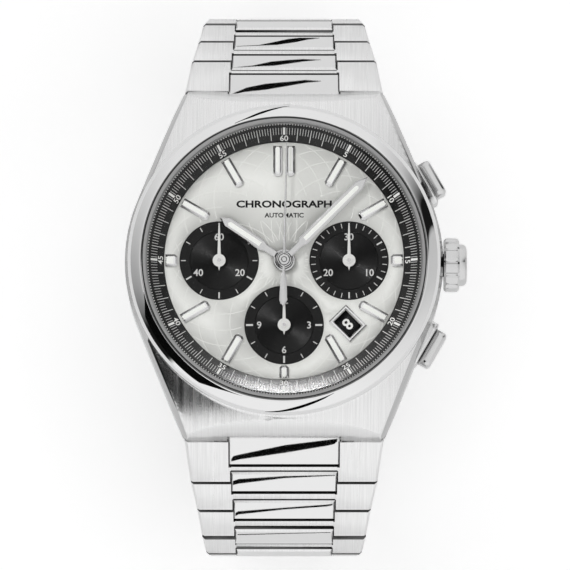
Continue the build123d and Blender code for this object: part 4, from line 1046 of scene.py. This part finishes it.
def studio_world():
    """Walls and ceiling that surround the watch in reflections, and plain white behind it for the camera."""
    world = bpy.data.worlds.new("studio")
    bpy.context.scene.world = world
    world.use_nodes = True
    tree = world.node_tree
    link = tree.links.new
    place = node(tree, "TexCoord")
    split = node(tree, "SeparateXYZ")
    link(place.outputs["Generated"], split.inputs["Vector"])
    heading = node(tree, "Math", operation="ARCTAN2")
    link(split.outputs["X"], heading.inputs[0])
    link(split.outputs["Y"], heading.inputs[1])
    turns = node(tree, "Math", operation="DIVIDE")
    turns.inputs[1].default_value = 2 * math.pi
    link(heading.outputs[0], turns.inputs[0])
    wrapped = node(tree, "Math", operation="FRACT")
    link(turns.outputs[0], wrapped.inputs[0])
    ramp = node(tree, "ValToRGB")
    stops = ramp.color_ramp.elements
    stops[0].position, stops[1].position = 0.0, 1.0
    stops[0].color = (WALLS[0][1],) * 3 + (1.0,)
    stops[1].color = (WALLS[-1][1],) * 3 + (1.0,)
    for angle, grey in WALLS[1:-1]:
        stop = stops.new(angle / 360)
        stop.color = (grey,) * 3 + (1.0,)
    link(wrapped.outputs[0], ramp.inputs["Fac"])
    overhead = ranged(tree, split.outputs["Z"], 0.0, 1.0, 0.86, 0.97)
    mix = node(tree, "Mix", data_type="RGBA")
    link(overhead, mix.inputs[0])
    link(ramp.outputs["Color"], mix.inputs[6])
    mix.inputs[7].default_value = (CEILING, CEILING, CEILING, 1.0)
    link(mix.outputs[2], tree.nodes["Background"].inputs["Color"])
    backdrop = node(tree, "Background")
    path = node(tree, "LightPath")
    seen = node(tree, "MixShader")
    link(path.outputs["Is Camera Ray"], seen.inputs[0])
    link(tree.nodes["Background"].outputs[0], seen.inputs[1])
    link(backdrop.outputs[0], seen.inputs[2])
    link(seen.outputs[0], tree.nodes["World Output"].inputs["Surface"])
    backdrop.inputs["Color"].default_value = (1.0, 1.0, 1.0, 1.0)


studio_world()

CAMERA_TILT = math.radians(8.1)
CAMERA_DISTANCE = 0.75
camera_up = Vector((0.0, math.cos(CAMERA_TILT), math.sin(CAMERA_TILT)))
camera_back = Vector((0.0, -math.sin(CAMERA_TILT), math.cos(CAMERA_TILT)))
AIM_ASIDE = 0.000116
AIM_BELOW = 0.00314
LENS = 368.5
aim = Vector((AIM_ASIDE, 0.0, DIAL_TOP * MM)) - camera_up * AIM_BELOW
camera_data = bpy.data.cameras.new("camera")
camera_data.lens = LENS
camera_data.sensor_width = 36.0
camera = bpy.data.objects.new("camera", camera_data)
camera.location = aim + camera_back * CAMERA_DISTANCE
camera.rotation_euler = camera_back.to_track_quat("Z", "Y").to_euler()
bpy.context.scene.collection.objects.link(camera)
bpy.context.scene.camera = camera
bpy.context.scene.view_settings.view_transform = "Standard"

# Dark flags mirrored by the polished centre pieces, from the case outward: each one's distance from its
# piece in metres, and its outline as shares of the piece's half width and half height.
FLAGS = {
    "six": [
        (0.09, [
            (-0.95, -0.56), (-0.91, -0.33), (-0.81, -0.23), (0.01, 0.43), (0.83, 0.82), (0.96, 0.88),
            (0.95, 0.68), (0.9, 0.5), (0.78, 0.39), (0.01, -0.11), (-0.79, -0.56), (-0.945, -0.71),
        ]),
        (0.09, [
            (-0.97, 0.18), (-0.86, 0.39), (0.0, 0.7), (0.96, 0.82), (0.96, 0.73), (0.0, 0.48),
            (-0.86, -0.09), (-0.97, -0.24),
        ]),
        (0.09, [
            (-0.96, -0.23), (-0.9, -0.04), (0.0, 0.35), (0.83, 0.69), (0.96, 0.79), (0.95, 0.6),
            (0.83, 0.47), (0.0, 0.15), (-0.9, -0.4), (-0.97, -0.62),
        ]),
        (0.05, [
            (-0.95, 0.5), (0.0, 0.66), (0.95, 0.8), (0.95, 0.72), (0.0, 0.56), (-0.95, 0.38),
        ]),
    ],
    "twelve": [
        (0.09, [
            (-0.97, -0.96), (-0.67, -0.3), (-0.33, 0.06), (0.07, 0.25), (0.38, 0.42), (0.67, 0.32),
            (0.67, 0.29), (0.38, 0.13), (0.07, -0.16), (-0.33, -0.52), (-0.72, -0.74), (-0.95, -1.0),
        ]),
        (0.08, [
            (-0.97, -0.86), (-0.59, -0.56), (-0.25, 0.0), (0.08, 0.24), (0.36, 0.36), (0.7, 0.28),
            (0.7, 0.24), (0.36, 0.0), (0.08, -0.32), (-0.2, -0.6), (-0.59, -0.72), (-0.97, -0.92),
        ]),
        (0.06, [
            (-0.97, -0.67), (-0.5, -0.47), (-0.21, 0.0), (0.08, 0.5), (0.31, 0.7), (0.71, 0.67),
            (0.71, 0.63), (0.46, 0.37), (0.23, -0.03), (-0.15, -0.47), (-0.5, -0.58), (-0.95, -0.73),
        ]),
    ],
}
CENTRE_LENGTHS = (4.75, 3.3, 3.3, 3.3)
CENTRE_HEIGHTS = (0.9, 1.4, 1.4, 1.4)
CENTRE_MIDDLES = (1.575, 0.0, 0.0, 0.0)
FLAG_BLACK = stage_material("flag_black", CARD_BLACK)
# Circle that the bezel's rounding follows, in millimetres: radius and height of its centre, and its radius.
BEZEL_ARC_CENTRE = (17.92, 0.273)
BEZEL_ARC_RADIUS = 2.395
BEZEL_FLAG_REACH = 0.0018


def flag(side, row, reach, outline):
    """Black card placed by the mirror law, so that the top of one centre piece shows it."""
    sign = 1.0 if side == "twelve" else -1.0
    slope = math.radians(centre_slope(row + 1))
    normal = Vector((0.0, sign * math.sin(slope), math.cos(slope)))
    along = Vector((0.0, sign * math.cos(slope), -math.sin(slope)))
    pin = Vector(JOINTS[f"{side}_link_{row + 1}_hinge"]["pos_m"])
    place = pin + (CENTRE_HEIGHTS[row] * normal + CENTRE_MIDDLES[row] * along) * MM
    to_camera = camera.location - place
    distance = to_camera.length
    to_camera.normalize()
    upright = (camera_up - camera_up.dot(to_camera) * to_camera).normalized()
    ray = 2 * normal.dot(to_camera) * normal - to_camera
    up = upright - 2 * normal.dot(upright) * normal
    half_width = LINK_CENTRE_WIDTHS[row] / 2 * MM
    half_height = CENTRE_LENGTHS[row] / 2 * MM * normal.dot(to_camera)
    grow = 1 + reach / distance
    points = []
    for across, upward in outline:
        offset = Vector((across * half_width * grow, 0.0, 0.0)) + up * (upward * half_height * grow)
        points.append(place + ray * reach + offset)
    stage_sheet(f"flag_{side}_{row}", points, [tuple(range(len(points)))])


def stage_sheet(name, points, faces):
    """Black sheet that only mirrors see."""
    mesh = bpy.data.meshes.new(name)
    mesh.from_pydata([tuple(point) for point in points], [], faces)
    mesh.materials.append(FLAG_BLACK)
    sheet = bpy.data.objects.new(name, mesh)
    bpy.context.scene.collection.objects.link(sheet)
    hide_from_all_but_mirrors(sheet)


def bezel_flag(name, stations):
    """Thin dark sheet mirrored by the bezel: dial angle, bezel radius and half width at each station."""
    points = []
    for angle, radius, half in stations:
        heading = math.radians(angle)
        for spot in (radius - half, radius + half):
            lean = math.asin((spot - BEZEL_ARC_CENTRE[0]) / BEZEL_ARC_RADIUS)
            outward = Vector((math.sin(heading), math.cos(heading), 0.0))
            normal = outward * math.sin(lean) + Vector((0.0, 0.0, math.cos(lean)))
            height = BEZEL_ARC_CENTRE[1] + BEZEL_ARC_RADIUS * math.cos(lean) + DIAL_TOP
            place = (outward * spot + Vector((0.0, 0.0, height))) * MM
            to_camera = (camera.location - place).normalized()
            ray = 2 * normal.dot(to_camera) * normal - to_camera
            points.append(place + ray * BEZEL_FLAG_REACH)
    faces = [(2 * k, 2 * k + 1, 2 * k + 3, 2 * k + 2) for k in range(len(stations) - 1)]
    stage_sheet(name, points, faces)


bezel_flag("bezel_flag_top", [
    (-20, 18.5, 0.03), (-14, 18.75, 0.12), (-8, 19.15, 0.16), (-3, 19.5, 0.1), (0, 19.75, 0.05),
    (2, 19.85, 0.02),
])
bezel_flag("bezel_flag_bottom", [
    (187, 19.9, 0.02), (182, 19.75, 0.08), (176, 19.45, 0.16), (170, 19.1, 0.16), (164, 18.8, 0.1),
    (160, 18.55, 0.03),
])
for side, entries in FLAGS.items():
    for row, (reach, outline) in enumerate(entries):
        flag(side, row, reach, outline)
